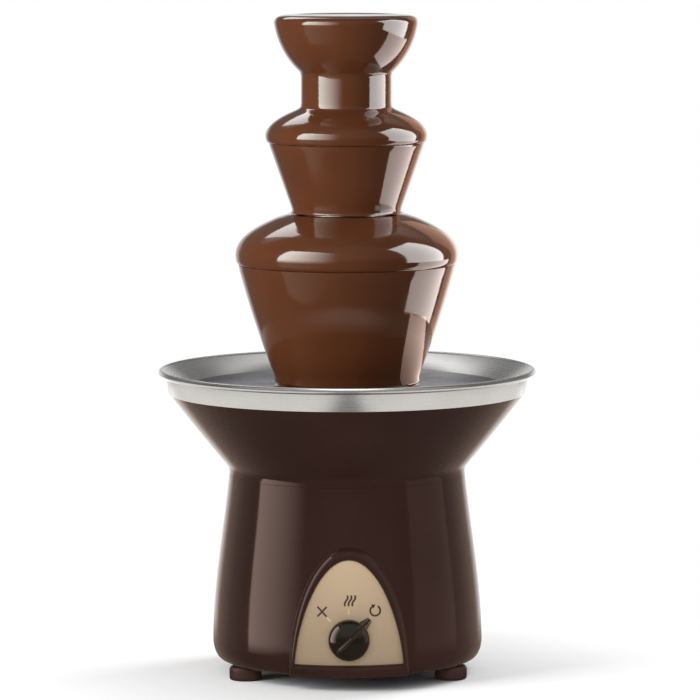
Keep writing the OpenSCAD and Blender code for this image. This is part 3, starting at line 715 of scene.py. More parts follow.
class FOUNTAIN_OT_domes(bpy.types.Operator):
    """Turns the films over the neck and the two domes"""

    bl_idname = "fountain.domes"
    bl_label = "Neck and domes"

    def execute(self, context):
        sizes = context.scene.fountain_sizes
        neck = sizes.neck_radius / MM
        r = sizes.upper_radius / MM
        z = UPPER_EDGE_Z
        edge = smooth([(r - DRIP_REACH, z - UPPER_DRIP), (r - 2.4, z - UPPER_DRIP), (r - 1.2, z - 4.1),
                       (r - 0.4, z - 2.6), (r, z)], 4)
        side = dome(r, z, 20.1, 33.5, 2.1, first=0.05, last=0.94)
        throat = smooth([side[-1], (neck + 0.9, z + 20.5), (neck + 0.15, z + 22.4), (neck, z + 25.2)], 5)
        rim_z = CROWN_Z - 0.1
        rim = [(neck, CROWN_Z - 10), (neck, rim_z), (neck - 2.3, rim_z), (neck - 2.3, z + 19.6)]
        under = self.lining(r, z, 20.4, 31.8, 2.1)
        profile = edge + side + throat[1:] + rim + under
        film(context, "neck_and_upper_dome", profile, 6, ["neck_coat", "upper_coat"])

        r = sizes.lower_radius / MM
        z = LOWER_EDGE_Z
        edge = smooth([(r - DRIP_REACH, z - LOWER_DRIP), (r - 2.3, z - LOWER_DRIP), (r - 1.1, z - 5.1),
                       (r - 0.3, z - 3), (r, z)], 4)
        side = dome(r, z, 30.0, 44.5, 2.25, first=0.05, last=0.93)
        crest = smooth([side[-1], (45.4, z + 29.3), (42.6, z + 30.1), (40.0, z + 30.3)], 5)
        tube_r = 32.1
        inner = [(tube_r, z + 30.5), (tube_r, z + 29)]
        under = self.lining(r, z, 30.0, 44.2, 2.25)
        film(context, "lower_dome", edge + side + crest[1:] + inner + under, 7, ["lower_coat"])
        return {"FINISHED"}

    def lining(self, radius, edge_z, rise, top_radius, power):
        """The inner face of a dome's film, from its crest down to its drip edge."""
        end_z = edge_z - 4.05
        side = dome(radius - FILM, edge_z - 1.3, rise, top_radius, power, first=0.98, last=0.0, steps=10)
        return side + [(radius - FILM, end_z), (radius - DRIP_REACH, end_z)]


class FOUNTAIN_OT_curtains(bpy.types.Operator):
    """Turns the two falling curtains of chocolate"""

    bl_idname = "fountain.curtains"
    bl_label = "Curtains"

    def execute(self, context):
        sizes = context.scene.fountain_sizes
        upper_r = sizes.upper_radius / MM - 2.0
        lower_r = sizes.lower_radius / MM - 1.6
        self.fall(context, "upper_fall", "upper_curtain", UPPER_FALL_R, upper_r, bulge=0.0, waves=5)
        self.fall(context, "lower_fall", "lower_curtain", LOWER_FALL_R, lower_r, bulge=1.5, waves=8)
        return {"FINISHED"}

    def fall(self, context, name, node, foot_r, top_r, bulge, waves):
        """One curtain, from its splash up to the edge that it leaves, a little fuller halfway."""
        foot_z = bottom_of(node) / MM
        top_z = top_of(node) / MM
        steps = 24
        rise = []
        for i in range(2, steps + 1):
            t = i / steps
            r = foot_r + (top_r - foot_r) * t + 4 * bulge * t * (1 - t)
            rise.append((r, foot_z + (top_z - foot_z) * t))
        rise[-1] = (top_r - 0.45, top_z)
        splash = smooth([(foot_r + 2.3, foot_z), (foot_r + 1.3, foot_z + 0.35), (foot_r + 0.9, foot_z + 1.3),
                         (rise[0][0] - 0.35, foot_z + 3.0)], 5)
        back = [(top_r - 2, top_z), (foot_r - 2, foot_z)]
        film(context, name, splash + rise + back, waves, [node])


class FOUNTAIN_OT_pool(bpy.types.Operator):
    """Turns the chocolate in the bowl, with rings where the curtain falls into it"""

    bl_idname = "fountain.pool"
    bl_label = "Pool"

    def execute(self, context):
        sizes = context.scene.fountain_sizes
        level = sizes.pool_level / MM
        ripple = sizes.pool_ripple / MM
        rings = 96
        ring_pitch = 7.5
        ring_reach = 15
        shore_r = BOWL_WALL_R - 0.4
        surface = []
        for i in range(rings + 1):
            r = shore_r - (shore_r - POOL_WELL_R) * i / rings
            out = r - LOWER_FALL_R
            ring = math.exp(-out / ring_reach) * math.cos(FULL_TURN * out / ring_pitch) if out > 0 else 0.0
            surface.append((r, level - 0.05 + ripple * 0.5 * ring))
        walls = [(POOL_WELL_R, BOWL_FLOOR_Z + 0.1), (BOWL_FLOOR_R - 0.05, BOWL_FLOOR_Z + 0.1),
                 (BOWL_KNEE_R - 0.1, BOWL_FLOOR_Z + 3.12), (BOWL_WALL_R - 0.15, LIP_Z - 12.7),
                 (BOWL_WALL_R + 0.4, level)]
        piece = turned("chocolate_surface", walls + surface, sizes.turn_steps)
        dress(context, piece, "base", "chocolate", ["chocolate_pool"], finish="pool")
        return {"FINISHED"}


class FOUNTAIN_OT_bowl(bpy.types.Operator):
    """Spins the steel bowl with its rolled lip, and the steel band under the lip"""

    bl_idname = "fountain.bowl"
    bl_label = "Bowl and band"

    def execute(self, context):
        sizes = context.scene.fountain_sizes
        lip = sizes.lip_radius / MM
        bead = sizes.bead_radius / MM
        floor = BOWL_FLOOR_Z
        centre = (lip - bead, LIP_Z - bead)
        inside = eased([(BOWL_HOLE_R, floor), (BOWL_FLOOR_R, floor), (BOWL_KNEE_R, floor + 3),
                        (BOWL_WALL_R, LIP_Z - 12.8), (lip - 6, LIP_Z - 1.4)], 4)
        roll = arc(centre, bead, 148, -150, 26)
        outside = eased([(lip - 5.3, LIP_Z - 2.65), (BOWL_WALL_R + 0.55, LIP_Z - 13.64),
                         (BOWL_KNEE_R + 0.75, floor + 2.25), (BOWL_FLOOR_R + 0.3, floor - 1),
                         (BOWL_HOLE_R, floor - 1)], 4)
        piece = turned("spun_bowl", inside + roll + outside, sizes.turn_steps)
        dress(context, piece, "base", "bowl_steel", ["bowl"])

        foot = sizes.funnel_radius / MM - 0.6
        brow = lip - 6.3
        foot_z = FUNNEL_TOP_Z + 0.05
        brow_z = BAND_TOP_Z - 0.02
        band = eased([(foot + 0.5, foot_z), (foot + 1.1, foot_z), (brow + 1.1, brow_z), (brow, brow_z),
                      (foot, foot_z), (foot + 0.5, foot_z)], 0.3, 3)
        piece = turned("lip_band", band[:-1], sizes.turn_steps)
        dress(context, piece, "base", "bowl_steel", ["rim_band"])
        return {"FINISHED"}


class FOUNTAIN_OT_housings(bpy.types.Operator):
    """Turns the flared funnel and the drum, and cuts the drum's arched window"""

    bl_idname = "fountain.housings"
    bl_label = "Housings"

    def execute(self, context):
        self.funnel(context)
        self.drum(context)
        return {"FINISHED"}

    def funnel(self, context):
        """The flared housing between the drum and the bowl."""
        sizes = context.scene.fountain_sizes
        waist = sizes.waist_radius / MM
        brow = sizes.funnel_radius / MM
        z = WAIST_Z
        top_z = FUNNEL_TOP_Z
        foot = waist + 2.1
        foot_z = z + 8
        steps = 20
        rise = []
        for i in range(steps + 1):
            t = i / steps
            rise.append((foot + (brow - foot) * t + 2 * t * (1 - t), foot_z + (top_z - foot_z) * t))
        collar = smooth([(waist - 0.02, z + 0.12), (waist - 0.13, z + 1.8), (waist - 0.02, z + 3.5),
                         (waist + 0.35, z + 5.1), (waist + 1.1, z + 6.6), rise[0]], 4)
        rim = [(brow - 0.1, top_z - 0.15), (brow - 0.4, top_z), (brow - 0.95, top_z),
               (brow - 0.3, top_z + 4.3), (brow - 2.7, top_z + 4.3), (brow - 3.3, top_z + 0.4)]
        inner = [(r - 3.6, height) for r, height in reversed(rise[:16])]
        skirt = [(waist - 5.4, z + 3), (waist - 5.4, z - 2.5), (waist - 2.9, z - 2.5),
                 (waist - 2.9, z + 0.05), (waist - 0.2, z + 0.05)]
        piece = turned("flared_funnel", collar + rise[1:-1] + rim + inner + skirt, sizes.turn_steps)
        dress(context, piece, "base", "brown_plastic", ["funnel_housing"])

    def drum(self, context):
        """The lower housing, with a rounded bottom corner and the window for the panel's frame."""
        sizes = context.scene.fountain_sizes
        waist = sizes.waist_radius / MM
        z = WAIST_Z
        wall_thickness = 2.5
        out = sizes.drum_radius / MM - DRUM_BASE_R
        up = DRUM_FOOT_Z - BASE_Z
        turns = [math.radians(angle) for angle in range(0, 90, 10)]
        corner = [(DRUM_BASE_R + out * math.sin(a), DRUM_FOOT_Z - up * math.cos(a)) for a in turns]
        steps = 22
        heights = [DRUM_FOOT_Z + (z - 0.12 - DRUM_FOOT_Z) * i / steps for i in range(steps + 1)]
        wall = [(drum_r(height, sizes), height) for height in heights]
        shoulder = [(waist - 0.2, z - 0.05), (waist - wall_thickness, z - 0.05)]
        back = [(drum_r(height, sizes) - wall_thickness, height) for height in heights[-2::-2]]
        sole = [(DRUM_BASE_R - 2.2, BASE_Z)]
        piece = turned("drum", corner + wall + shoulder + back + sole, sizes.turn_steps)
        self.cut_window(piece)
        dress(context, piece, "base", "brown_plastic", ["lower_housing"])

    def cut_window(self, piece):
        """Cuts the arch that the panel's frame fills."""
        depth = 0.06
        height = FRAME_TOP_Z - BASE_Z + 1.15
        loop = arch_loop(FRAME_WIDTH + 0.3, height, FRAME_ROUNDING, BASE_Z - 1, side=32, foot=2)
        begin()
        bpy.ops.mesh.primitive_plane_add(size=MM)
        cutter = added("window_cutter")
        bpy.ops.object.mode_set(mode="EDIT")
        draw_line([(x * MM, -depth, z * MM) for x, z in loop])
        bpy.ops.mesh.select_all(action="SELECT")
        bpy.ops.mesh.edge_face_add()
        bpy.ops.mesh.extrude_region_move(TRANSFORM_OT_translate={"value": (0, -depth, 0)})
        close_up()
        apply_modifier(piece, "BOOLEAN", operation="DIFFERENCE", object=cutter, solver="EXACT")
        bpy.data.objects.remove(cutter, do_unlink=True)


class FOUNTAIN_OT_panel_frame(bpy.types.Operator):
    """Sweeps the rounded frame round the arched panel"""

    bl_idname = "fountain.panel_frame"
    bl_label = "Panel frame"

    def execute(self, context):
        sizes = context.scene.fountain_sizes
        rise = sizes.frame_rise / MM
        inner = arch_loop(PANEL_WIDTH, PANEL_HEIGHT, PANEL_ROUNDING, PANEL_Z)
        outer = arch_loop(FRAME_WIDTH, FRAME_TOP_Z - BASE_Z, FRAME_ROUNDING, BASE_Z)
        # Points of the section: share from the inner to the outer arch, and rise over the drum's face
        section = [(0.0, -4.2), (0.0, -0.5), (0.02, 0.3 * rise), (0.06, 0.55 * rise), (0.13, 0.77 * rise),
                   (0.22, 0.91 * rise), (0.33, 0.985 * rise), (0.44, rise), (0.55, 0.955 * rise),
                   (0.66, 0.84 * rise), (0.76, 0.65 * rise), (0.85, 0.41 * rise), (0.93, 0.17 * rise),
                   (1.0, 0.01), (1.0, -4.2), (0.5, -4.4)]

        def place(i, j):
            share, height = section[j]
            x = inner[i][0] + (outer[i][0] - inner[i][0]) * share
            z = inner[i][1] + (outer[i][1] - inner[i][1]) * share
            return on_drum(x, z, height, sizes)

        piece = closed_band("arched_frame", len(inner), len(section), place)
        dress(context, piece, "base", "brown_plastic", ["panel_frame"], angle=60)
        return {"FINISHED"}


class FOUNTAIN_OT_panel(bpy.types.Operator):
    """Shapes the curved gold panel inside the frame"""

    bl_idname = "fountain.panel"
    bl_label = "Gold panel"

    def execute(self, context):
        sizes = context.scene.fountain_sizes

        def place(across, along):
            u = 1 - (1 - along) ** 2
            half = (PANEL_WIDTH / 2 - 0.15) * math.sqrt(max(0.0, 1 - u ** PANEL_ROUNDING))
            return on_drum((2 * across - 1) * half, PANEL_Z + 0.1 + (PANEL_HEIGHT - 0.3) * u, -0.3, sizes)

        piece = plate("gold_panel", 48, 44, place, 1.0)
        dress(context, piece, "base", "panel_gold", ["control_panel"])
        return {"FINISHED"}


def stroke(name, path, sizes, share=1.0):
    """A printed line along a path of (x, z) points in millimetres, by its share of the marks' width."""
    width = sizes.mark_width / MM * share
    count = len(path) - 1

    def place(across, along):
        i = round(along * count)
        before = path[max(i - 1, 0)]
        after = path[min(i + 1, count)]
        gap = math.dist(before, after)
        side = ((after[1] - before[1]) / gap, (before[0] - after[0]) / gap)
        shift = (across - 0.5) * width
        return on_drum(path[i][0] + side[0] * shift, path[i][1] + side[1] * shift, INK_RISE, sizes)

    return plate(name, 2, count, place, INK_FILM)


def dial_point(radius, angle):
    """A point on the panel at a radius and an angle clockwise from the top of the dial."""
    a = math.radians(angle)
    return (radius * math.sin(a), KNOB_Z + radius * math.cos(a))


class FOUNTAIN_OT_dial(bpy.types.Operator):
    """Prints the dial's signs for off, heat and flow, and its ticks"""

    bl_idname = "fountain.dial"
    bl_label = "Dial marks"

    def execute(self, context):
        sizes = context.scene.fountain_sizes
        signs = self.cross(sizes) + self.waves(sizes) + self.ring(sizes)
        dress(context, join("dial_signs", signs), "base", "panel_gold", finish="ink")
        dress(context, join("dial_ticks", self.ticks(sizes)), "base", "panel_gold", finish="pale_ink")
        return {"FINISHED"}

    def cross(self, sizes):
        """The sign for off."""
        x, z = dial_point(27.6, -44)
        paths = [[(x + 3.3 * t * lean, z + 3.5 * t) for t in (-1, -0.5, 0, 0.5, 1)] for lean in (1, -1)]
        return [stroke(f"off_{k}", path, sizes) for k, path in enumerate(paths)]

    def waves(self, sizes):
        """The sign for heat: three rising waves."""
        x, z = dial_point(27.8, 1.6)
        gap = 2.7
        signs = []
        for k in range(3):
            path = []
            for i in range(17):
                t = i / 8 - 1
                bend = 0.7 * math.sin(math.pi * t) + 0.75 * t
                path.append((x + gap * (k - 1) + bend, z + 3.8 * t))
            signs.append(stroke(f"heat_{k}", path, sizes))
        return signs

    def ring(self, sizes):
        """The sign for flow: an open ring that ends in an arrow head."""
        end = -235
        head_length = 2.6
        head_half = 1.7
        path = arc(dial_point(27.8, 42.6), 3.6, 60, end, 36)
        tip = path[-1]
        way = math.radians(end - 90)

        def barb(across, along):
            ahead = head_length * along
            shift = (2 * across - 1) * head_half * (1 - along)
            x = tip[0] + math.cos(way) * ahead - math.sin(way) * shift
            z = tip[1] + math.sin(way) * ahead + math.cos(way) * shift
            return on_drum(x, z, INK_RISE, sizes)

        return [stroke("flow_ring", path, sizes), plate("flow_head", 2, 3, barb, INK_FILM)]

    def ticks(self, sizes):
        """The thin ticks at the knob's three settings."""
        start = 18.3
        tick_length = 3.8
        ticks = []
        for k, angle in enumerate((-45, 0, 45)):
            path = [dial_point(start + tick_length * i / 4, angle) for i in range(5)]
            ticks.append(stroke(f"tick_{k}", path, sizes, share=0.6))
        return ticks


class FOUNTAIN_OT_knob(bpy.types.Operator):
    """Models the glossy knob with its grip and pointer"""

    bl_idname = "fountain.knob"
    bl_label = "Knob"

    def execute(self, context):
        sizes = context.scene.fountain_sizes
        r = sizes.knob_radius / MM
        bore_r = 3.2
        hollow_r = 9.0
        bore = [(0.0, 12.0), (bore_r, 12.0), (bore_r, 4.4), (hollow_r, 4.4), (hollow_r, 1.2)]
        rim = eased([(hollow_r, 1.2), (r - 0.1, 1.2), (r, 1.8), (r, 3.6)], 0.5, 3)
        cap = smooth([(r, 3.6), (r - 0.5, 5.9), (r - 1.9, 8.0), (r - 4.3, 9.9), (r - 7.8, 11.3),
                      (r - 11.6, 12.1), (0.0, 12.4)], 4)
        body = turned("knob_body", bore + rim[1:-1] + cap, 96)
        piece = join("glossy_knob", [body, self.grip()])
        seat = Matrix.Translation(KNOB_SEAT)
        lean = KNOB_AXIS.to_track_quat("Z", "Y").to_matrix().to_4x4()
        turn = Matrix.Rotation(math.radians(KNOB_REST), 4, "Z")
        place_mesh(piece, seat @ lean @ turn)
        dress(context, piece, "knob", "dark_plastic", ["control_knob"], angle=50)
        return {"FINISHED"}

    def grip(self):
        """The crest that crosses the knob and runs out into its pointer, lofted through sections."""
        # A section: its place along the grip, half widths of base and crest, lowest and highest point
        sections = smooth([
            (-14.2, 0.0, 0.0, 4.0, 4.0), (-14.0, 1.6, 0.3, 2.5, 5.4), (-12.2, 4.2, 0.4, 2.4, 9.4),
            (-8.6, 6.0, 0.5, 2.4, 13.7), (-4.5, 6.6, 0.55, 2.4, 15.3), (0.0, 6.6, 0.6, 2.4, 15.6),
            (4.5, 6.4, 0.6, 2.4, 15.2), (8.8, 5.6, 0.65, 2.4, 13.0), (12.4, 4.4, 0.8, 2.2, 9.8),
            (15.6, 3.4, 0.9, 2.0, 7.4), (18.8, 2.4, 0.9, 2.0, 6.1), (21.0, 1.6, 0.8, 2.1, 5.2),
            (21.5, 0.0, 0.0, 3.6, 3.6)], 3)
        # Half of the section's outline: shares of the base, of the crest and of the height
        half = [(0.0, 0.0, 0.0), (0.6, 0.0, 0.0), (1.0, 0.0, 0.06), (0.62, 0.38, 0.30), (0.33, 0.67, 0.55),
                (0.12, 0.88, 0.80), (0.0, 1.0, 0.955), (0.0, 0.45, 1.0)]
        outline = half + [(-base, -crest, up) for base, crest, up in reversed(half)]

        def place(across, along):
            y, base, crest, bottom, peak = sections[round(along * (len(sections) - 1))]
            base_share, crest_share, up = outline[round(across * (len(outline) - 1))]
            return Vector((base * base_share + crest * crest_share, y, bottom + (peak - bottom) * up)) * MM

        return sheet_of("knob_grip", len(outline) - 1, len(sections) - 1, place)


class FOUNTAIN_OT_feet(bpy.types.Operator):
    """Turns one foot and copies it to the other two places"""

    bl_idname = "fountain.feet"
    bl_label = "Feet"

    def execute(self, context):
        sizes = context.scene.fountain_sizes
        r = sizes.foot_radius / MM
        stud_r = 2.92
        profile = eased([(0.0, 0.7), (6.5, 0.7), (6.9, 0.0), (r - 1.5, 0.0), (r - 0.3, 0.6), (r, 2.0),
                         (r, 8.0), (r - 1.2, 9.8), (stud_r, 9.8), (stud_r, 26.0), (0.0, 26.0)], 0.6, 3)
        first = turned("foot_pad_left", profile, 64)
        bearings = {"left": 210, "right": 330, "rear": 90}
        pads = {"left": first}
        for side in ("right", "rear"):
            select_only(first)
            bpy.ops.object.duplicate(linked=False)
            pads[side] = added(f"foot_pad_{side}")
        for side, bearing in bearings.items():
            a = math.radians(bearing)
            spot = Vector((math.cos(a), math.sin(a), 0.0)) * FEET_CIRCLE_R * MM
            place_mesh(pads[side], Matrix.Translation(spot))
            dress(context, pads[side], f"{side}_foot", "foot_plastic", [f"foot_{side}"])
        return {"FINISHED"}


class FOUNTAIN_OT_inner_finishes(bpy.types.Operator):
    """Gives every node of the frame the finish of its material slot"""

    bl_idname = "fountain.inner_finishes"
    bl_label = "Inner finishes"

    def execute(self, context):
        for part in frame["record"]["subparts"]:
            node = frame["nodes"][part["node"]]
            node.data.materials.clear()
            node.data.materials.append(finish_of(context, part["material_slot"]))
        return {"FINISHED"}


class FOUNTAIN_OT_stage(bpy.types.Operator):
    """Sets up the floor, the white backdrop, the soft lights and the camera"""

    bl_idname = "fountain.stage"
    bl_label = "Stage"

    def execute(self, context):
        scene = context.scene
        scene.view_settings.view_transform = "Standard"
        self.floor(scene.fountain_colours)
        self.backdrop(scene)
        self.lights(self.groups(context))
        self.camera(scene)
        return {"FINISHED"}

    def groups(self, context):
        """The pieces by how they take the light. Gloss is the mouldings without the panel."""
        names = ("films", "steel", "mouldings", "gloss", "films_and_floor")
        groups = {name: bpy.data.collections.new(name) for name in names}
        wet = finish_of(context, "chocolate")
        bright = finish_of(context, "bowl_steel")
        satin = finish_of(context, "panel_gold")
        for piece in context.scene.objects:
            if piece.type != "MESH":
                continue
            finishes = piece.data.materials[:]
            if wet in finishes:
                groups["films"].objects.link(piece)
            elif bright in finishes:
                groups["steel"].objects.link(piece)
            elif piece.name != "floor":
                groups["mouldings"].objects.link(piece)
                if satin not in finishes:
                    groups["gloss"].objects.link(piece)
            if wet in finishes or piece.name == "floor":
                groups["films_and_floor"].objects.link(piece)
        return groups

    def lights(self, groups):
        """Soft fills for the colour of the pieces, and softboxes that show only in their reflections."""
        films, steel, mouldings, gloss, films_and_floor = groups.values()
        tower = (0.0, 0.0, 0.36)
        drum = (0.0, 0.0, 0.12)
        amber = (1.0, 0.58, 0.40)
        blush = (1.0, 0.74, 0.64)
        self.fill("left_fill", (-0.70, -0.42, 0.52), tower, (0.42, 0.84), 10.0, films_and_floor)
        self.fill("right_rim", (0.50, 0.38, 0.50), tower, (0.30, 0.80), 6.0, films_and_floor)
        self.fill("front_fill", (-0.10, -1.20, 0.45), drum, (0.80, 0.60), 9.0, mouldings)
        self.fill("film_fill", (0.05, -1.20, 0.42), (0.0, 0.0, 0.25), (0.80, 0.40), 3.6, films)

        left = self.sheen("left_sheen", (-0.514, -0.613, 0.45), (0.0, 0.0, 0.45), (1.04, 1.40), 60.0,
                          films, (0.96, 1.0, 0.94))
        self.fade(left, low=0.30, high=0.50, dim=0.04)
        self.sheen("right_sheen", (0.60, -0.04, 0.71), (0.0, -0.04, 0.71), (0.60, 0.98), 27.0, films)
        right = self.sheen("right_low_sheen", (0.60, 0.135, -0.07), (0.0, 0.135, -0.07), (0.61, 0.58), 9.7,
                           films, (1.0, 0.88, 0.83))
        right.light_linking.blocker_collection = films
        bowl = self.sheen("bowl_sheen", (0.0902, -0.0132, 0.2185), (0.0325, 0.0034, 0.6185),
                          (0.066, 0.081), 0.112, films, blush)
        self.fade(bowl, low=0.02, high=0.76, dim=0.33, rear=1.0, front=1.0)
        self.sheen("bowl_edge", (0.088, 0.047, 0.219), (0.028, 0.047, 0.619), (0.060, 0.100), 0.0075,
                   films, amber)
        self.sheen("rear_sheen", (-0.28, 0.60, 1.00), (0.0, 0.0, 0.38), (0.35, 0.35), 1.8, films)
        self.sheen("right_edge", (0.60, 1.04, 0.45), (0.0, 0.0, 0.45), (0.68, 1.3), 2.6, films, amber)
        self.fill("edge_fill", (0.63, 0.63, 0.45), tower, (0.30, 0.80), 20.0, films)

        strip = self.sheen("left_strip", (-0.70, -0.48, 0.40), (0.0, -0.48, 0.40), (0.925, 1.0), 7.6,
                           gloss, blush)
        self.fade(strip)
        self.sheen("right_strip", (0.60, -0.16, 0.40), (0.0, -0.16, 0.40), (0.50, 1.0), 0.8,
                   gloss, (1.0, 0.70, 0.60))
        for side, across in (("left", -0.60), ("right", 0.60)):
            self.fill(f"{side}_flank", (across, 0.60, 0.05), drum, (0.40, 0.50), 11.0, mouldings)

        for side, across in (("left", -0.80), ("right", 0.80)):
            self.sheen(f"{side}_table_glow", (across, -0.2, -0.03), (across, -0.2, 1.0), (1.44, 2.8), 8.8,
                       steel, (1.0, 0.975, 0.93))
        self.sheen("top_glow", (0.0, -0.50, 1.60), (0.0, -0.50, 0.0), (0.70, 1.40), 5.2, steel)

    def fill(self, name, at, towards, size, power, group):
        """A softbox that lights a group of pieces without showing in their gloss."""
        lamp = self.lamp(name, at, towards, size, power, group)
        lamp.visible_glossy = False

    def sheen(self, name, at, towards, size, power, group, colour=(1.0, 1.0, 1.0)):
        """A softbox that shows only in the gloss of a group of pieces."""
        lamp = self.lamp(name, at, towards, size, power, group)
        lamp.data.color = colour
        lamp.visible_diffuse = False
        return lamp

    def fade(self, lamp, low=-1.0, high=0.0, dim=0.0, rear=2.0, front=0.0):
        """Runs a lamp's strength from its rear edge to its front edge, and dims it towards its foot."""
        lamp.data.use_nodes = True
        tree = lamp.data.node_tree
        place = tree.nodes.new("ShaderNodeNewGeometry")
        split = tree.nodes.new("ShaderNodeSeparateXYZ")
        tree.links.new(place.outputs["Parametric"], split.inputs[0])
        across = self.ramp(tree, split.outputs["X"], 0.0, 1.0, rear, front)
        along = self.ramp(tree, split.outputs["Y"], low, high, dim, 1.0)
        strength = self.combined(tree, "MULTIPLY", across, along)
        tree.links.new(strength, tree.nodes["Emission"].inputs["Strength"])

    def floor(self, colours):
        """A pale floor that fades into the white backdrop and shows grey in reflections."""
        begin()
        bpy.ops.mesh.primitive_circle_add(vertices=96, radius=2.2, fill_type="NGON")
        piece = added("floor")
        recipe = Recipe("floor")
        tree = recipe.tree
        grain = recipe.noise(recipe.place, 3.0, 2.0)
        recipe.shades(grain, [(0.2, shade(colours.floor, 0.99)), (0.8, colours.floor)])
        recipe.set(Roughness=0.9, Specular_IOR_Level=0.1)
        size = recipe.add("ShaderNodeVectorMath", operation="LENGTH")
        recipe.link(recipe.place, size.inputs[0])
        fade = self.ramp(tree, size.outputs["Value"], 0.14, 0.38, 0.0, 1.0)
        path = recipe.add("ShaderNodeLightPath")
        grey = recipe.add("ShaderNodeBsdfDiffuse", {"Color": (0.10, 0.10, 0.10, 1.0)})
        clear = recipe.add("ShaderNodeBsdfTransparent")
        tone = self.mixed(tree, path.outputs["Is Glossy Ray"], recipe.shader, grey)
        seen = self.mixed(tree, fade, tone, clear)
        recipe.link(seen.outputs[0], tree.nodes["Material Output"].inputs["Surface"])
        piece.data.materials.append(recipe.finish)

    def backdrop(self, scene):
        """White for the camera, a studio in reflections, and plain soft light from all round."""
        world = bpy.data.worlds.new("studio")
        scene.world = world
        world.use_nodes = True
        tree = world.node_tree
        soft = tree.nodes["Background"]
        soft.inputs["Strength"].default_value = 0.48
        white, room = (tree.nodes.new("ShaderNodeBackground") for _ in range(2))
        for light in (soft, white, room):
            light.inputs["Color"].default_value = (1.0, 1.0, 1.0, 1.0)
        tree.links.new(self.room_light(tree), room.inputs["Strength"])
        path = tree.nodes.new("ShaderNodeLightPath")
        either = self.combined(
            tree, "MAXIMUM", path.outputs["Is Glossy Ray"], path.outputs["Is Transmission Ray"])
        reflected = self.mixed(tree, either, soft, room)
        seen = self.mixed(tree, path.outputs["Is Camera Ray"], reflected, white)
        tree.links.new(seen.outputs[0], tree.nodes["World Output"].inputs["Surface"])

    def room_light(self, tree):
        """How bright the studio is in a reflection: white behind, grey above, dim elsewhere."""
        way = tree.nodes.new("ShaderNodeTexCoord")
        split = tree.nodes.new("ShaderNodeSeparateXYZ")
        tree.links.new(way.outputs["Generated"], split.inputs[0])
        x, y, z = (split.outputs[axis] for axis in "XYZ")
        backdrop = self.combined(tree, "MULTIPLY", self.ramp(tree, y, 0.78, 0.95, 0.0, 1.0),
                                 self.ramp(tree, z, 0.10, 0.30, 1.0, 0.0))
        above = self.combined(tree, "MULTIPLY", self.ramp(tree, z, 0.45, 0.80, 0.0, 1.0),
                              self.ramp(tree, x, -0.45, 0.45, 1.60, 0.72))
        ceiling = self.combined(tree, "MULTIPLY", above, self.ramp(tree, y, 0.42, 0.60, 0.12, 1.0))
        table = self.ramp(tree, z, -0.26, -0.16, 0.14, 0.0)
        front = self.combined(tree, "MULTIPLY", self.ramp(tree, y, -0.30, 0.0, 1.0, 0.0),
                              self.ramp(tree, z, 0.0, 0.40, 0.08, 0.40))
        light = self.ramp(tree, y, -0.20, 0.40, 0.08, 0.18)
        for part in (backdrop, ceiling, table, front):
            light = self.combined(tree, "MAXIMUM", light, part)
        return light

    def mixed(self, tree, share, first, second):
        """Mixes two shaders by the share of the second."""
        mix = tree.nodes.new("ShaderNodeMixShader")
        tree.links.new(share, mix.inputs["Fac"])
        tree.links.new(first.outputs[0], mix.inputs[1])
        tree.links.new(second.outputs[0], mix.inputs[2])
        return mix

    def combined(self, tree, operation, first, second):
        """The result of an operation on two values."""
        node = tree.nodes.new("ShaderNodeMath")
        node.operation = operation
        tree.links.new(first, node.inputs[0])
        tree.links.new(second, node.inputs[1])
        return node.outputs[0]

    def ramp(self, tree, value, low, high, dim, bright):
        """A soft step from dim to bright, as a value goes from low to high."""
        step = tree.nodes.new("ShaderNodeMapRange")
        step.interpolation_type = "SMOOTHSTEP"
        for key, number in {"From Min": low, "From Max": high, "To Min": dim, "To Max": bright}.items():
            step.inputs[key].default_value = number
        tree.links.new(value, step.inputs["Value"])
        return step.outputs["Result"]

    def lamp(self, name, at, towards, size, power, group):
        """A rectangular softbox aimed at a point, kept to a group of pieces."""
        begin()
        bpy.ops.object.light_add(type="AREA", location=at)
        lamp = added(name)
        lamp.data.shape = "RECTANGLE"
        lamp.data.size, lamp.data.size_y = size
        lamp.data.energy = power
        lamp.rotation_mode = "QUATERNION"
        lamp.rotation_quaternion = (Vector(towards) - Vector(at)).to_track_quat("-Z", "Y")
        lamp.light_linking.receiver_collection = group
        lamp.visible_camera = False
        return lamp

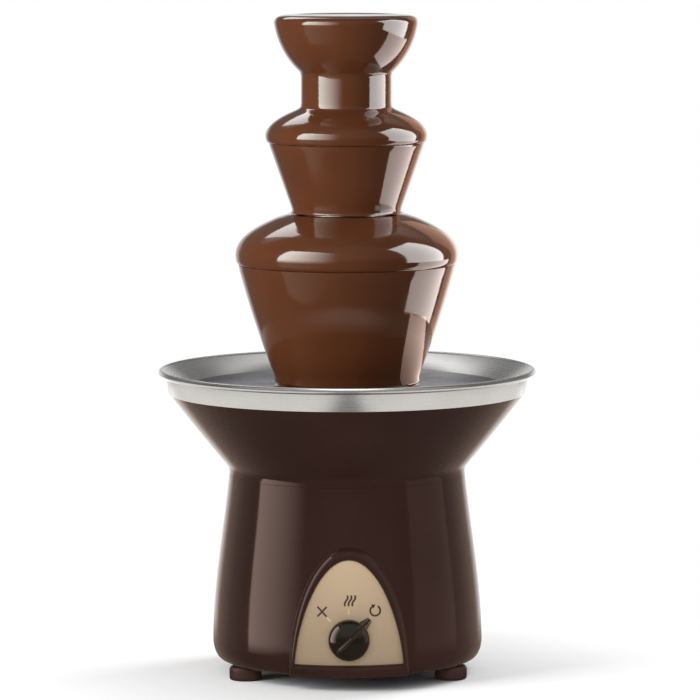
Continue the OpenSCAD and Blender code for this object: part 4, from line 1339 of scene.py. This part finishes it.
    def camera(self, scene):
        """The photograph's view: from far off, a little above the bowl."""
        distance = 3.4
        height = 0.582
        bearing = math.radians(0.65)
        roll = math.radians(-0.115)
        frame_width = 0.511
        sensor = 36.0
        at = Vector((-distance * math.sin(bearing), -distance * math.cos(bearing), height))
        aim = Vector((0.0023, 0.0, 0.2355))
        begin()
        bpy.ops.object.camera_add(location=at)
        camera = added("camera")
        camera.data.sensor_width = sensor
        camera.data.lens = sensor * (aim - at).length / frame_width
        camera.rotation_mode = "QUATERNION"
        level = (aim - at).to_track_quat("-Z", "Y")
        camera.rotation_quaternion = level @ Quaternion((0, 0, 1), roll)
        scene.camera = camera


class FOUNTAIN_PT_pieces(bpy.types.Panel):
    """Lists the fountain's pieces, sizes and colours"""

    bl_idname = "FOUNTAIN_PT_pieces"
    bl_label = "Chocolate fountain"
    bl_space_type = "VIEW_3D"
    bl_region_type = "UI"
    bl_category = "Fountain"

    def draw(self, context):
        for step in STEPS:
            self.layout.operator(step.bl_idname)
        for group in (context.scene.fountain_sizes, context.scene.fountain_colours):
            for key in group.__annotations__:
                self.layout.prop(group, key)


STEPS = (
    FOUNTAIN_OT_inner_finishes,
    FOUNTAIN_OT_crown,
    FOUNTAIN_OT_domes,
    FOUNTAIN_OT_curtains,
    FOUNTAIN_OT_pool,
    FOUNTAIN_OT_bowl,
    FOUNTAIN_OT_housings,
    FOUNTAIN_OT_panel_frame,
    FOUNTAIN_OT_panel,
    FOUNTAIN_OT_dial,
    FOUNTAIN_OT_knob,
    FOUNTAIN_OT_feet,
    FOUNTAIN_OT_stage,
)
CLASSES = (FountainSizes, FountainColours, FOUNTAIN_PT_pieces) + STEPS


def register():
    for item in CLASSES:
        bpy.utils.register_class(item)
    bpy.types.Scene.fountain_sizes = bpy.props.PointerProperty(type=FountainSizes)
    bpy.types.Scene.fountain_colours = bpy.props.PointerProperty(type=FountainColours)


def unregister():
    del bpy.types.Scene.fountain_colours
    del bpy.types.Scene.fountain_sizes
    for item in reversed(CLASSES):
        bpy.utils.unregister_class(item)


def main():
    register()
    bpy.ops.fountain.inner_finishes()
    bpy.ops.fountain.crown()
    bpy.ops.fountain.domes()
    bpy.ops.fountain.curtains()
    bpy.ops.fountain.pool()
    bpy.ops.fountain.bowl()
    bpy.ops.fountain.housings()
    bpy.ops.fountain.panel_frame()
    bpy.ops.fountain.panel()
    bpy.ops.fountain.dial()
    bpy.ops.fountain.knob()
    bpy.ops.fountain.feet()
    bpy.ops.fountain.stage()


if __name__ == "__main__":
    main()
